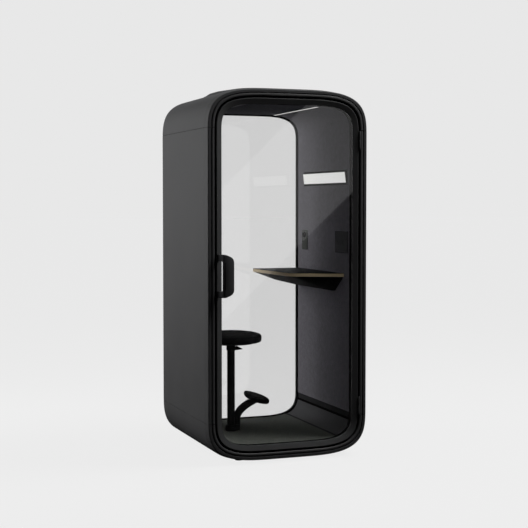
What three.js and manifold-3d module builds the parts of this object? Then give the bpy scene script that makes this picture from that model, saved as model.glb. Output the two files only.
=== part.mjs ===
// A one-person acoustic office pod: a sandwich shell with rounded corners, a glazed door at the front,
// a glazed rear wall, felt linings, a corner desk, lights, controls, ventilation and a fixed stool.
// Millimetres, +Z up, +X to the right seen from the front, +Y from the door to the rear glass.
import * as THREE from 'three';
import { mergeVertices } from 'three/addons/utils/BufferGeometryUtils.js';
import { ConvexGeometry } from 'three/addons/geometries/ConvexGeometry.js';
import Module from 'manifold-3d';

const wasm = await Module();
wasm.setup();

// Shell: overall sizes, and rounded corners that tighten inwards
const podWidth = 1030;
const podHeight = 2220;
const podDepth = 955;
const cornerAcross = 434;
const cornerUp = 290;
const cornerPower = 3.45;
const cornerAcrossRatio = 1.49;
const cornerUpRatio = 1.22;
const cornerSteps = 12;
const closestPlaces = 8;
const closestTurns = 0.008;
const filletSteps = 6;
const coarseSides = 16;
const roundSides = 24;
const fineSides = 32;
const skin = 14;
const seamFromEnd = 240;
const seamGap = 1.5;
const fit = 0.3;

// Front rim, trim bead, gap and door, from the outside inwards
const rimWidth = 32;
const rimFillet = 30;
const rimDepth = 22;
const trimWidth = 16;
const trimSetback = 1;
const trimCrown = 6;
const doorGap = 12;
const doorFace = 30;
const doorThickness = 40;
const doorSetback = 2;
const doorEdge = 4;
const doorGlass = 8;
const doorGlassSetback = 12;
const glassBite = 6;
const sealWidth = 18;
const sealThickness = 4;
const jambDepth = 14;
const jambSetback = 2;

// Rear rim, frame and glass
const rearFillet = 8;
const rearRimWidth = 34;
const rearRimDepth = 14;
const rearFrameDepth = 36;
const rearGlass = 11;
const gasketWidth = 9;
const gasketLip = 12;
const gasketLipThickness = 1.6;
const rearFrameLip = 1;

// Linings: whole wall, felt, base tray, carpet, skirting
const wallThickness = 90;
const felt = 12;
const trayInset = 78;
const tray = 10;
const carpet = 4.2;
const carpetHalfWidth = 337;
const feltFoot = 250;
const skirtingHeight = 36;
const skirtingSetback = 3;
const shadowGap = 3.5;
const airSlot = 30;

// Ceiling light line, which fills the joint between ceiling panel and right-hand felt
const lightLineFromSide = 277;
const lightLineWidth = 24;
const lightLineHeight = 8;
const lightLineFront = 140;
const lightLineRearGap = 33.4;
const lensMargin = 3;
const lensThickness = 3;

// Fan, its bay above the ceiling, and the power unit beside it
const fanBayRear = 420;
const fanSize = 120;
const fanHeight = 25;
const fanBore = 54;
const fanY = 250;
const fanHub = 18;
const fanBoss = 5;
const fanStrut = 7;
const fanBlades = 7;
const strutRoot = 1;
const rotorClearance = 1;
const bladeClearance = 2;
const bladeChord = 21;
const bladeThickness = 2.5;
const bladePitch = 0.6;
const powerUnit = [160, 70, 30];
const powerUnitX = -150;

// Hood on the roof
const hoodHalfWidth = 345;
const hoodFront = 66;
const hoodRear = 590;
const hoodHeight = 14;
const hoodFrontSlope = 260;
const hoodRearSlope = 100;
const hoodSideSlope = 8;
const hoodWall = 3;

// Steel base frame and levelling feet
const frameHalfWidth = 320;
const frameEndGap = 70;
const frameBar = 60;
const frameHeight = 38;
const footDrop = 12;
const footPad = 25;
const footPadHeight = 9;
const footPadSlopeIn = 4;
const footPadSlopeDown = 2;
const footStem = 6;
const footHole = 7;
const footX = 270;
const footEndGap = 140;

// Door handle: a bow bent out from two feet on the door's left stile
const handleMiddle = 1113;
const handleHalfHeight = 123;
const handleGripHalfHeight = 102;
const handleReach = 52;
const handleThickness = 12;
const handleFlange = 14;
const handleFlangeThickness = 8;
const handleSlot = 14;
const handleSlotHalfHeight = 90;
const handleSlotCorner = 8;
const handleGrip = 58;
const handleCorner = 28;
const handleEdgeGap = 3;

// Hinges: two lift-off pairs in the right-hand gap
const hingeHeight = 108;
const hingeEndGap = 244;
const hingeRadius = 5.5;
const hingePin = 2.4;
const hingeBore = 2.8;
const hingePlate = 2.2;
const hingeDoorLeaf = 30;
const hingeSplit = 0.6;

// Corner desk on the right-hand wall
const deskTop = 1104;
const deskReachRear = 330;
const deskReachFront = 308;
const deskRearGap = 4;
const deskStraightFrom = 420;
const deskCornerY = 272;
const deskCornerReach = 225;
const deskFrontAtWall = 150;
const laminate = 2;
const ply = 20;
const deskBodyInset = 4;
const deskBodyHeight = 93;
const deskBodyFoot = 22;
const deskBodyFront = 278;

// Wall light, control plate and socket module
const wallLightFront = 112;
const wallLightRearGap = 112.4;
const wallLightFoot = 1663;
const wallLightTop = 1737;
const wallLightFootOut = 3.5;
const wallLightTopOut = 13;
const wallLensMargin = 3;
const wallLensThickness = 3;
const controlWidth = 93;
const controlRearGap = 70.4;
const controlZ = [1231, 1363];
const controlThickness = 4;
const controlCorner = 10;
const knobRadius = 16;
const knobDepth = 12;
const knobAlong = 41;
const knobZ = 1330;
const buttonRadius = 5;
const buttonClearance = 0.5;
const buttonAlong = 71;
const buttonZ = 1286;
const buttonOut = 1.6;
const buttonBack = 1.6;
const socketY = [88, 280];
const socketZ = [1230, 1365];
const socketThickness = 5;
const socketCorner = 8;
const socketBezel = 9;
const socketSetback = 1;
const socketHole = 20;
const socketDepth = 3;
const socketPitch = 74;

// Stool: floor block, column, gas post, swivel plate, lever, pan, cushion and footrest
const stoolX = -192;
const stoolY = 520;
const blockHeight = 38;
const blockRound = 36;
const blockArmRound = 18;
const columnRadius = 24.6;
const columnBore = 16;
const columnHeight = 474;
const postRadius = 15.6;
const postLength = 380;
const hubRadius = 29;
const hubHeight = 43;
const panRadius = 150;
const panHeight = 7;
const cushionRadius = 200;
const cushionHeight = 66;
const cushionCrown = 19;
const cushionBelly = 7;
const cushionSides = 40;
const crownPower = 2.6;
const crownShares = [0.85, 0.65, 0.4, 0];
const leverLength = 38;
const leverRadius = 6;
const leverRise = 14;
const leverDroop = 0.2;
const armRadius = 17.5;
const armOffset = 43;
const armUpright = 34;
const armElbow = 96;
const armReach = 126;
const padHalfLength = 205;
const padHalfWidth = 44;
const padThickness = 22;
const padReach = 171;
const padHeight = 300;

// Places that follow from the sizes above
const doorOuter = rimWidth + trimWidth + doorGap;
const doorInner = doorOuter + doorFace;
const doorRear = doorSetback + doorThickness;
const jambFront = doorRear + sealThickness;
const jambRear = jambFront + jambDepth;
const linerFront = jambRear + fit;
const rearFrameRear = podDepth - rearRimDepth - fit;
const rearFrameFront = rearFrameRear - rearFrameDepth;
const linerRear = rearFrameFront - fit;
const hingeX = podWidth / 2 - doorOuter + doorGap / 2;
const wallX = podWidth / 2 - wallThickness - fit;
const lightLineX = podWidth / 2 - lightLineFromSide;
const lightLineRear = linerRear - lightLineRearGap;
const wallLightRear = linerRear - wallLightRearGap;
const controlRear = linerRear - controlRearGap;
const controlFront = controlRear - controlWidth;
const knobY = controlFront + knobAlong;
const buttonY = controlFront + buttonAlong;
const ceilingEdge = lightLineX - lightLineWidth / 2 - fit;
const feltEdge = lightLineX + lightLineWidth / 2 + fit;
const carpetTop = trayInset + tray + fit + carpet;
const frontY = -(podDepth - handleReach) / 2;

// Keeps one finish per kind of surface
function finish(color, roughness, metalness) {
  return new THREE.MeshStandardMaterial({ color, roughness, metalness });
}

const shellPaint = () => finish(0x4b4b4c, 0.55, 0.0);
const blackRubber = () => finish(0x0c0c0d, 0.7, 0.0);
const blackMetal = () => finish(0x1b1b1c, 0.4, 0.4);
const greyFelt = () => finish(0x6c6a70, 0.95, 0.0);
const clearGlass = () => finish(0xe8ecea, 0.03, 0.0);
const steel = () => finish(0x9a9c9e, 0.35, 0.9);
const lamp = () => finish(0xffffff, 0.4, 0.0);
const ceilingFelt = () => finish(0x3a3a3f, 0.95, 0.0);
const skirtingPaint = () => finish(0x2c2c2e, 0.6, 0.0);
const trayPaint = () => finish(0x48484a, 0.6, 0.0);
const loopCarpet = () => finish(0x4e514d, 1.0, 0.0);
const soundSlab = () => finish(0x8a8a84, 1.0, 0.0);
const channelPaint = () => finish(0x2a2a2c, 0.5, 0.5);
const zincCase = () => finish(0xb8b8b8, 0.5, 0.6);
const blackLaminate = () => finish(0x161617, 0.35, 0.0);
const birchPly = () => finish(0xb09a78, 0.6, 0.0);
const deskPaint = () => finish(0x2b2b2d, 0.5, 0.0);
const greyPlastic = () => finish(0x5d5d5b, 0.5, 0.0);
const blackCloth = () => finish(0x202021, 0.95, 0.0);

const pod = new THREE.Group();
pod.position.set(0, frontY, footDrop);

function addPart(name, geometry, material) {
  const mesh = new THREE.Mesh(geometry, material);
  mesh.name = name;
  pod.add(mesh);
  return mesh;
}

// Makes a closed body from corners and triangles, with its faces outwards
function closedBody(positions, index) {
  const geometry = new THREE.BufferGeometry();
  geometry.setAttribute('position', new THREE.Float32BufferAttribute(positions, 3));
  const corner = (k) => new THREE.Vector3(...positions.slice(3 * k, 3 * k + 3));
  let volume = 0;
  for (let i = 0; i < index.length; i += 3) {
    volume += corner(index[i]).dot(corner(index[i + 1]).cross(corner(index[i + 2])));
  }
  geometry.setIndex(volume > 0 ? index : index.slice().reverse());
  geometry.computeVertexNormals();
  return geometry;
}

function toManifold(geometry) {
  const bare = geometry.clone();
  bare.deleteAttribute('normal');
  bare.deleteAttribute('uv');
  const merged = mergeVertices(bare, 1e-4);
  const vertProperties = new Float32Array(merged.attributes.position.array);
  const triVerts = new Uint32Array(merged.index.array);
  return new wasm.Manifold(new wasm.Mesh({ numProp: 3, vertProperties, triVerts }));
}

function fromManifold(manifold) {
  const mesh = manifold.getMesh();
  return closedBody(Array.from(mesh.vertProperties), Array.from(mesh.triVerts));
}

function join(first, ...others) {
  return fromManifold(others.reduce((sum, other) => sum.add(toManifold(other)), toManifold(first)));
}

function cut(first, ...tools) {
  return fromManifold(tools.reduce((rest, tool) => rest.subtract(toManifold(tool)), toManifold(first)));
}

function overlapOf(first, second) {
  return fromManifold(toManifold(first).intersect(toManifold(second)));
}

// The pod's outline, drawn in by an inset: reach of its corners across and up, less by a ratio of the inset
function cornerReach(inset) {
  return [cornerAcross - cornerAcrossRatio * inset, cornerUp - cornerUpRatio * inset];
}

// Place in a corner from the shares of its reach; side and end are +1 or -1
function cornerPlace(inset, side, end, shareAcross, shareUp) {
  const [across, up] = cornerReach(inset);
  const x = podWidth / 2 - inset - across + across * shareAcross;
  const rise = podHeight / 2 - inset - up + up * shareUp;
  return [side * x, podHeight / 2 + end * rise];
}

// Place in a corner where the outline has turned by an angle away from upright
function turned(turn, side, end) {
  return (inset) => {
    const [across, up] = cornerReach(inset);
    const power = cornerPower / (cornerPower - 1);
    const level = (across * Math.max(Math.cos(turn), 0)) ** power;
    const upright = (up * Math.sin(turn)) ** power;
    const shareAcross = (level / (level + upright)) ** (1 / cornerPower);
    const shareUp = (upright / (level + upright)) ** (1 / cornerPower);
    return cornerPlace(inset, side, end, shareAcross, shareUp);
  };
}

const otherShare = (share) => (1 - share ** cornerPower) ** (1 / cornerPower);

// Share of the corner's reach up at a height, and across at a distance from the middle
function shareAtHeight(inset, z) {
  const up = cornerReach(inset)[1];
  const rise = Math.abs(z - podHeight / 2) - (podHeight / 2 - inset - up);
  return THREE.MathUtils.clamp(rise / up, 0, 1);
}

function shareAtX(inset, x) {
  const across = cornerReach(inset)[0];
  const reach = Math.abs(x) - (podWidth / 2 - inset - across);
  return THREE.MathUtils.clamp(reach / across, 0, 1);
}

// Place on the outline at a height, and at a distance from the middle
function atHeight(z, side) {
  return (inset) => {
    const [x] = cornerPlace(inset, side, 1, otherShare(shareAtHeight(inset, z)), 1);
    return [x, z];
  };
}

function atX(x, end) {
  return (inset) => {
    const [, z] = cornerPlace(inset, 1, end, 1, otherShare(shareAtX(inset, x)));
    return [x, z];
  };
}

// Angle that the outline has turned by at a distance from the middle, and the place it stands for
function turnAtX(inset, x) {
  const [across, up] = cornerReach(inset);
  const shareAcross = shareAtX(inset, x);
  const shareUp = otherShare(shareAcross);
  return Math.atan2(shareUp ** (cornerPower - 1) / up, shareAcross ** (cornerPower - 1) / across);
}

const squareTo = (inset, x, end) => turned(turnAtX(inset, x), Math.sign(x), end);

// Height of the faceted outline's underside at a distance from the middle
function facetFoot(inset, x) {
  const points = wholeRing().map((place) => place(inset));
  const low = points.filter(([, z]) => z < podHeight / 2).sort((one, other) => one[0] - other[0]);
  const after = low.findIndex((point) => point[0] > x);
  const [[x0, z0], [x1, z1]] = [low[after - 1], low[after]];
  return THREE.MathUtils.mapLinear(x, x0, x1, z0, z1);
}

const quarter = Math.PI / 2;

// Turns of the places in a corner, closer together where it runs out flat, with those of the lining joints
function cornerTurns(end) {
  const joints = end > 0
    ? [turnAtX(wallThickness, ceilingEdge), turnAtX(wallThickness, feltEdge)]
    : [turnAtX(carpetTop, carpetHalfWidth)];
  const turns = [...joints];
  for (let i = 0; i <= cornerSteps; i++) {
    const turn = (quarter * (1 - Math.cos((Math.PI * i) / cornerSteps))) / 2;
    if (joints.every((joint) => Math.abs(joint - turn) > closestTurns)) turns.push(turn);
  }
  return turns.sort((one, other) => one - other);
}

// Places all round the outline, anticlockwise from the right-hand side seen from the front
function wholeRing() {
  const corners = [[1, 1], [-1, 1], [-1, -1], [1, -1]];
  return corners.flatMap(([side, end]) => {
    const places = cornerTurns(end).map((turn) => turned(turn, side, end));
    return side === end ? places : places.reverse();
  });
}

// Places from one to another, anticlockwise, by way of the outline's own places at an inset
function placesBetween(first, last, inset) {
  const point = (place) => new THREE.Vector2(...place(inset));
  const bearing = (place) => Math.atan2(point(place).y - podHeight / 2, point(place).x);
  const past = (place) => THREE.MathUtils.euclideanModulo(bearing(place) - bearing(first), 4 * quarter);
  const apart = (place, other) => point(place).distanceTo(point(other)) > closestPlaces;
  const between = wholeRing()
    .filter((place) => past(place) < past(last) && apart(place, first) && apart(place, last))
    .sort((one, other) => past(one) - past(other));
  return [first, ...between, last];
}

// Places over the top (end +1) or under the floor (end -1), from one side's height to the other's
function archPlaces(z, end, inset) {
  return placesBetween(atHeight(z, end), atHeight(z, -end), inset);
}

function sidePlaces(side, foot, top, inset) {
  const ends = [atHeight(foot, side), atHeight(top, side)];
  return side > 0 ? placesBetween(...ends, inset) : placesBetween(...ends.reverse(), inset);
}

// Carries a closed section of [inset, depth] corners along places of the outline
function sweep(section, places, ring = false) {
  const positions = places.flatMap((place) =>
    section.flatMap(([inset, depth]) => {
      const [x, z] = place(inset);
      return [x, depth, z];
    }),
  );
  const count = section.length;
  const index = [];
  for (let i = 0; i < (ring ? places.length : places.length - 1); i++) {
    const here = i * count;
    const next = ((i + 1) % places.length) * count;
    for (let j = 0; j < count; j++) {
      const k = (j + 1) % count;
      index.push(here + j, next + j, next + k, here + j, next + k, here + k);
    }
  }
  if (!ring) {
    const contour = section.map(([inset, depth]) => new THREE.Vector2(inset, depth));
    const forward = THREE.ShapeUtils.area(contour) > 0;
    const last = (places.length - 1) * count;
    for (const [a, b, c] of THREE.ShapeUtils.triangulateShape(contour, [])) {
      const same = THREE.ShapeUtils.area([contour[a], contour[b], contour[c]]) > 0 === forward;
      index.push(...(same ? [a, b, c] : [a, c, b]));
      index.push(...(same ? [last + a, last + c, last + b] : [last + a, last + b, last + c]));
    }
  }
  return closedBody(positions, index);
}

function box(insetFrom, insetTo, depthFrom, depthTo) {
  return [[insetFrom, depthFrom], [insetTo, depthFrom], [insetTo, depthTo], [insetFrom, depthTo]];
}

// A pane with the pod's outline drawn in by an inset
function pane(inset, depthFrom, depthTo) {
  const points = wholeRing().map((place) => new THREE.Vector2(...place(inset)));
  return uprightPlate(new THREE.Shape(points), depthFrom, depthTo);
}

// A plate whose outline is drawn in x and z, between two depths
function uprightPlate(shape, depthFrom, depthTo) {
  const geometry = new THREE.ExtrudeGeometry(shape, { depth: depthTo - depthFrom, bevelEnabled: false });
  return geometry.rotateX(quarter).translate(0, depthTo, 0);
}

// A plate whose outline is drawn in x and y, between two heights
function levelPlate(shape, foot, top) {
  const geometry = new THREE.ExtrudeGeometry(shape, {
    depth: top - foot,
    bevelEnabled: false,
    curveSegments: 8,
  });
  return geometry.translate(0, 0, foot);
}

// A block between two corners
function block(low, high) {
  const size = high.map((value, axis) => value - low[axis]);
  const geometry = new THREE.BoxGeometry(...size);
  return geometry.translate(...low.map((value, axis) => value + size[axis] / 2));
}

function uprightCylinder(radius, foot, top, x, y, sides = roundSides) {
  const geometry = new THREE.CylinderGeometry(radius, radius, top - foot, sides);
  return geometry.rotateX(quarter).translate(x, y, (foot + top) / 2);
}

function roundedRectangle(low, high, corner) {
  const shape = new THREE.Shape();
  shape.moveTo(low[0] + corner, low[1]);
  shape.lineTo(high[0] - corner, low[1]);
  shape.absarc(high[0] - corner, low[1] + corner, corner, -quarter, 0);
  shape.lineTo(high[0], high[1] - corner);
  shape.absarc(high[0] - corner, high[1] - corner, corner, 0, quarter);
  shape.lineTo(low[0] + corner, high[1]);
  shape.absarc(low[0] + corner, high[1] - corner, corner, quarter, Math.PI);
  shape.lineTo(low[0], low[1] + corner);
  shape.absarc(low[0] + corner, low[1] + corner, corner, Math.PI, 3 * quarter);
  return shape;
}

// Shell panels: one channel section with a front rim and a rear rim, in four pieces
function shellSection() {
  const front = [];
  for (let i = 0; i <= filletSteps; i++) {
    const angle = (quarter * i) / filletSteps;
    front.push([rimFillet * (1 - Math.cos(angle)), rimFillet * (1 - Math.sin(angle))]);
  }
  return [
    ...front,
    [rimWidth, 0],
    [rimWidth, rimDepth],
    [skin, rimDepth],
    [skin, podDepth - rearRimDepth],
    [rearRimWidth, podDepth - rearRimDepth],
    [rearRimWidth, podDepth],
    [rearFillet, podDepth],
    [rearFillet * (1 - Math.SQRT1_2), podDepth - rearFillet * (1 - Math.SQRT1_2)],
    [0, podDepth - rearFillet],
  ];
}

const seamTop = podHeight - seamFromEnd;
const seamFoot = seamFromEnd;

function footPlaces() {
  const ends = [footEndGap, podDepth - footEndGap];
  return ends.flatMap((y) => [[-footX, y], [footX, y]]);
}

function buildShell() {
  const section = shellSection();
  const roof = sweep(section, archPlaces(seamTop + seamGap / 2, 1, 0));
  const fanHole = uprightCylinder(fanBore, podHeight - 2 * skin, podHeight + skin, 0, fanY, fineSides);
  addPart('roof_shell', cut(roof, fanHole), shellPaint());
  const base = sweep(section, archPlaces(seamFoot - seamGap / 2, -1, 0));
  const holes = footPlaces().map(([x, y]) => uprightCylinder(footHole, -skin, 4 * skin, x, y, coarseSides));
  addPart('base_shell', cut(base, ...holes), shellPaint());
  for (const [name, side] of [['left_side_panel', -1], ['right_side_panel', 1]]) {
    const places = sidePlaces(side, seamFoot + seamGap / 2, seamTop - seamGap / 2, 0);
    addPart(name, sweep(section, places), shellPaint());
  }
}

// Bead that trims the rim, split on the same seams as the shell
function buildTrim() {
  const outer = rimWidth + fit;
  const inner = rimWidth + trimWidth;
  const middle = (outer + inner) / 2;
  const half = (inner - outer) / 2;
  const crown = [];
  for (let i = 0; i <= filletSteps; i++) {
    const angle = (Math.PI * i) / filletSteps;
    crown.push([middle - half * Math.cos(angle), trimSetback + trimCrown * (1 - Math.sin(angle))]);
  }
  const section = [...crown, [inner, jambFront - fit], [outer, jambFront - fit]];
  addPart('front_trim_top', sweep(section, archPlaces(seamTop + seamGap / 2, 1, outer)), shellPaint());
  addPart('front_trim_bottom', sweep(section, archPlaces(seamFoot - seamGap / 2, -1, outer)), shellPaint());
  for (const [name, side] of [['front_trim_left', -1], ['front_trim_right', 1]]) {
    const places = sidePlaces(side, seamFoot + seamGap / 2, seamTop - seamGap / 2, outer);
    addPart(name, sweep(section, places), shellPaint());
  }
}

// Fixed jamb behind the door, and the seal that the door closes on
function buildJamb() {
  const inner = doorInner - jambSetback;
  addPart('door_jamb', sweep(box(skin + fit, inner, jambFront, jambRear), wholeRing(), true), blackMetal());
  const outer = inner - sealWidth;
  const seal = box(outer, inner, doorRear + fit, jambFront - fit);
  addPart('door_seal', sweep(seal, wholeRing(), true), blackRubber());
}

function buildDoor() {
  const grooveFront = doorSetback + doorGlassSetback;
  const grooveRear = grooveFront + doorGlass;
  const groove = doorInner - glassBite;
  const section = [
    [doorOuter, doorSetback + doorEdge],
    [doorOuter + doorEdge, doorSetback],
    [doorInner - doorEdge, doorSetback],
    [doorInner, doorSetback + doorEdge],
    [doorInner, grooveFront - fit],
    [groove - fit, grooveFront - fit],
    [groove - fit, grooveRear + fit],
    [doorInner, grooveRear + fit],
    [doorInner, doorRear],
    [doorOuter, doorRear],
  ];
  addPart('door_frame', sweep(section, wholeRing(), true), shellPaint());
  addPart('door_glass', pane(groove, grooveFront, grooveRear), clearGlass());
}

// Handle: where a bent strap, drawn from above, meets a bow with two feet, drawn from the front
function buildHandle() {
  const left = -(podWidth / 2 - doorOuter) + handleEdgeGap;
  const flangeEnd = left + handleFlange;
  const gripLeft = flangeEnd + handleSlot;
  const gripRight = gripLeft + handleGrip;
  const back = doorSetback - fit;
  const gripBack = -handleReach + handleThickness;
  const round = handleThickness / 2;
  const strap = new THREE.Shape();
  strap.moveTo(left, back);
  strap.lineTo(left, back - handleFlangeThickness);
  strap.lineTo(flangeEnd - round / 2, back - handleFlangeThickness);
  strap.lineTo(gripLeft - round / 2, -handleReach + round / 2);
  strap.lineTo(gripLeft, -handleReach);
  strap.lineTo(gripRight - round, -handleReach);
  strap.absarc(gripRight - round, -handleReach + round, round, -quarter, quarter);
  strap.lineTo(gripLeft + round, gripBack);
  strap.lineTo(flangeEnd + round, back);
  const slope = handleHalfHeight - handleGripHalfHeight;
  const outline = new THREE.Shape();
  const corner = (x, rise) => [x, handleMiddle + rise];
  outline.moveTo(...corner(left, -handleSlotHalfHeight));
  outline.lineTo(...corner(left, handleFlange - handleHalfHeight));
  outline.lineTo(...corner(left + handleFlange / 2, -handleHalfHeight));
  outline.lineTo(...corner(gripLeft, -handleHalfHeight));
  outline.lineTo(...corner(gripRight - handleCorner, slope / 2 - handleHalfHeight));
  const gripFoot = corner(gripRight, -handleGripHalfHeight);
  outline.quadraticCurveTo(...gripFoot, ...corner(gripRight, handleCorner - handleGripHalfHeight));
  outline.lineTo(...corner(gripRight, handleGripHalfHeight - handleCorner));
  const gripTop = corner(gripRight, handleGripHalfHeight);
  outline.quadraticCurveTo(...gripTop, ...corner(gripRight - handleCorner, handleHalfHeight - slope / 2));
  outline.lineTo(...corner(gripLeft, handleHalfHeight));
  outline.lineTo(...corner(left + handleFlange / 2, handleHalfHeight));
  outline.lineTo(...corner(left, handleHalfHeight - handleFlange));
  outline.lineTo(...corner(left, handleSlotHalfHeight));
  outline.lineTo(...corner(gripLeft - handleSlotCorner, handleSlotHalfHeight));
  const slotTop = corner(gripLeft, handleSlotHalfHeight);
  outline.quadraticCurveTo(...slotTop, ...corner(gripLeft, handleSlotHalfHeight - handleSlotCorner));
  outline.lineTo(...corner(gripLeft, handleSlotCorner - handleSlotHalfHeight));
  const slotFoot = corner(gripLeft, -handleSlotHalfHeight);
  outline.quadraticCurveTo(...slotFoot, ...corner(gripLeft - handleSlotCorner, -handleSlotHalfHeight));
  const tall = levelPlate(strap, handleMiddle - 2 * handleHalfHeight, handleMiddle + 2 * handleHalfHeight);
  const deep = uprightPlate(outline, -2 * handleReach, 2 * handleReach);
  addPart('door_handle', overlapOf(tall, deep), blackMetal());
}

// Lift-off hinges: the lower half holds the pin and stays on the trim, the upper half lifts with the door
function buildHinges() {
  const doorEdgeX = podWidth / 2 - doorOuter + fit;
  const trimEdgeX = podWidth / 2 - rimWidth - trimWidth - fit;
  const pairs = [
    ['lower', hingeEndGap],
    ['upper', podHeight - hingeEndGap - hingeHeight],
  ];
  for (const [name, foot] of pairs) {
    const split = foot + hingeHeight / 2;
    const top = foot + hingeHeight;
    const fixedPlate = block([trimEdgeX - hingePlate, 0, foot], [trimEdgeX, jambFront - fit, split]);
    const fixedBarrel = uprightCylinder(hingeRadius, foot, split, hingeX, 0);
    const pinTop = top - hingeRadius;
    const pin = uprightCylinder(hingePin, foot + hingeRadius, pinTop, hingeX, 0, coarseSides);
    addPart(`${name}_hinge_fixed_half`, join(fixedBarrel, fixedPlate, pin), blackMetal());
    const doorFoot = split + hingeSplit;
    const doorPlate = block([doorEdgeX, 0, doorFoot], [doorEdgeX + hingePlate, hingeDoorLeaf, top]);
    const doorBarrel = uprightCylinder(hingeRadius, doorFoot, top, hingeX, 0);
    const bore = uprightCylinder(hingeBore, split, pinTop + fit, hingeX, 0, coarseSides);
    addPart(`${name}_hinge_door_half`, cut(join(doorBarrel, doorPlate), bore), blackMetal());
  }
}

function buildRear() {
  const outer = skin + fit;
  const frame = box(outer, wallThickness + rearFrameLip, rearFrameFront, rearFrameRear);
  addPart('rear_frame', sweep(frame, wholeRing(), true), blackMetal());
  const gasketOuter = rearRimWidth + fit;
  const glassEdge = gasketOuter + gasketWidth + fit;
  const glassRear = podDepth - gasketLipThickness - fit;
  const front = rearFrameRear + fit;
  const section = [
    [gasketOuter, front],
    [glassEdge - fit, front],
    [glassEdge - fit, glassRear + fit],
    [glassEdge + gasketLip, glassRear + fit],
    [glassEdge + gasketLip, podDepth],
    [gasketOuter, podDepth],
  ];
  addPart('rear_glass_gasket', sweep(section, wholeRing(), true), blackRubber());
  addPart('rear_glass', pane(glassEdge, glassRear - rearGlass, glassRear), clearGlass());
}

// Felt walls run up round the corners to the flat ceiling panel
function buildLinings() {
  const outer = wallThickness - felt;
  const feltSection = box(outer, wallThickness, linerFront, linerRear);
  const walls = [
    ['left_wall_felt', -1, ceilingEdge + 2 * fit],
    ['right_wall_felt', 1, feltEdge],
  ];
  for (const [name, side, edge] of walls) {
    const ends = [atHeight(feltFoot, side), squareTo(wallThickness, side * edge, 1)];
    const places = side > 0 ? placesBetween(...ends, outer) : placesBetween(...ends.reverse(), outer);
    addPart(name, sweep(feltSection, places), greyFelt());
  }
  const panel = box(outer, wallThickness, linerFront + airSlot, linerRear);
  const panelEnds = [1, -1].map((side) => squareTo(wallThickness, side * ceilingEdge, 1));
  const across = placesBetween(...panelEnds, outer);
  addPart('ceiling_panel', sweep(panel, across), ceilingFelt());
  const skirting = box(outer, wallThickness - skirtingSetback, linerFront, linerRear);
  for (const [name, side] of [['left_skirting', -1], ['right_skirting', 1]]) {
    const top = feltFoot - fit;
    const places = sidePlaces(side, top - skirtingHeight, top, outer);
    addPart(name, sweep(skirting, places), skirtingPaint());
  }
  const trayTop = feltFoot - fit - skirtingHeight - shadowGap;
  const traySection = box(trayInset, trayInset + tray, linerFront, linerRear);
  addPart('base_tray', sweep(traySection, archPlaces(trayTop, -1, trayInset)), trayPaint());
  const carpetSection = box(trayInset + tray + fit, carpetTop, linerFront, linerRear);
  const carpetEnds = [-1, 1].map((side) => squareTo(carpetTop, side * carpetHalfWidth, -1));
  const carpetRun = placesBetween(...carpetEnds, carpetTop);
  addPart('floor_carpet', sweep(carpetSection, carpetRun), loopCarpet());
}

// Sound-deadening slabs between skins and linings, clear of the fan bay
function buildCores() {
  const section = box(skin + fit, wallThickness - felt - fit, linerFront, linerRear);
  const top = box(skin + fit, wallThickness - felt - fit, fanBayRear, linerRear);
  addPart('roof_core', sweep(top, archPlaces(seamTop + fit, 1, skin)), soundSlab());
  for (const [name, side] of [['left_core', -1], ['right_core', 1]]) {
    addPart(name, sweep(section, sidePlaces(side, seamFoot + fit, seamTop - fit, skin)), soundSlab());
  }
}

function buildLightLine() {
  const half = lightLineWidth / 2;
  const ceiling = atX(lightLineX, 1)(wallThickness)[1];
  const channelFoot = ceiling + lensThickness + fit;
  const low = [lightLineX - half, linerFront, channelFoot];
  const high = [lightLineX + half, linerRear, channelFoot + lightLineHeight];
  addPart('light_line_channel', block(low, high), channelPaint());
  const lensLow = [lightLineX - half + lensMargin, lightLineFront, ceiling];
  const lensHigh = [lightLineX + half - lensMargin, lightLineRear, ceiling + lensThickness];
  addPart('light_line_lens', block(lensLow, lensHigh), lamp());
}

function buildFan() {
  const top = podHeight - skin - fit;
  const foot = top - fanHeight;
  const half = fanSize / 2;
  const frame = roundedRectangle([-half, fanY - half], [half, fanY + half], half / 10);
  const hole = new THREE.Path();
  hole.absarc(0, fanY, fanBore, 0, 2 * Math.PI, true);
  frame.holes.push(hole);
  const pieces = [uprightCylinder(fanHub, foot, foot + fanBoss, 0, fanY)];
  for (let i = 0; i < 3; i++) {
    const strut = block([0, -fanStrut / 2, foot], [fanBore + strutRoot, fanStrut / 2, foot + fanBoss]);
    pieces.push(strut.rotateZ((2 * Math.PI * i) / 3).translate(0, fanY, 0));
  }
  addPart('fan_housing', join(levelPlate(frame, foot, top), ...pieces), blackMetal());
  const rotorFoot = foot + fanBoss + fit;
  const rotorTop = top - rotorClearance;
  const middle = (rotorFoot + rotorTop) / 2;
  const hub = uprightCylinder(fanHub, rotorFoot, rotorTop, 0, fanY);
  const blades = [];
  for (let i = 0; i < fanBlades; i++) {
    const reach = fanBore - bladeClearance - fanHub / 2;
    const blade = new THREE.BoxGeometry(reach, bladeChord, bladeThickness);
    blade.rotateX(bladePitch).translate(fanHub / 2 + reach / 2, 0, 0);
    blades.push(blade.rotateZ((2 * Math.PI * i) / fanBlades).translate(0, fanY, middle));
  }
  addPart('fan_rotor', join(hub, ...blades), blackMetal());
  const seat = podHeight - (wallThickness - felt) + fit;
  const [length, width, height] = powerUnit;
  const low = [powerUnitX - length / 2, fanY - width / 2, seat];
  const high = [low[0] + length, low[1] + width, seat + height];
  addPart('power_unit', block(low, high), zincCase());
}

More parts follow.
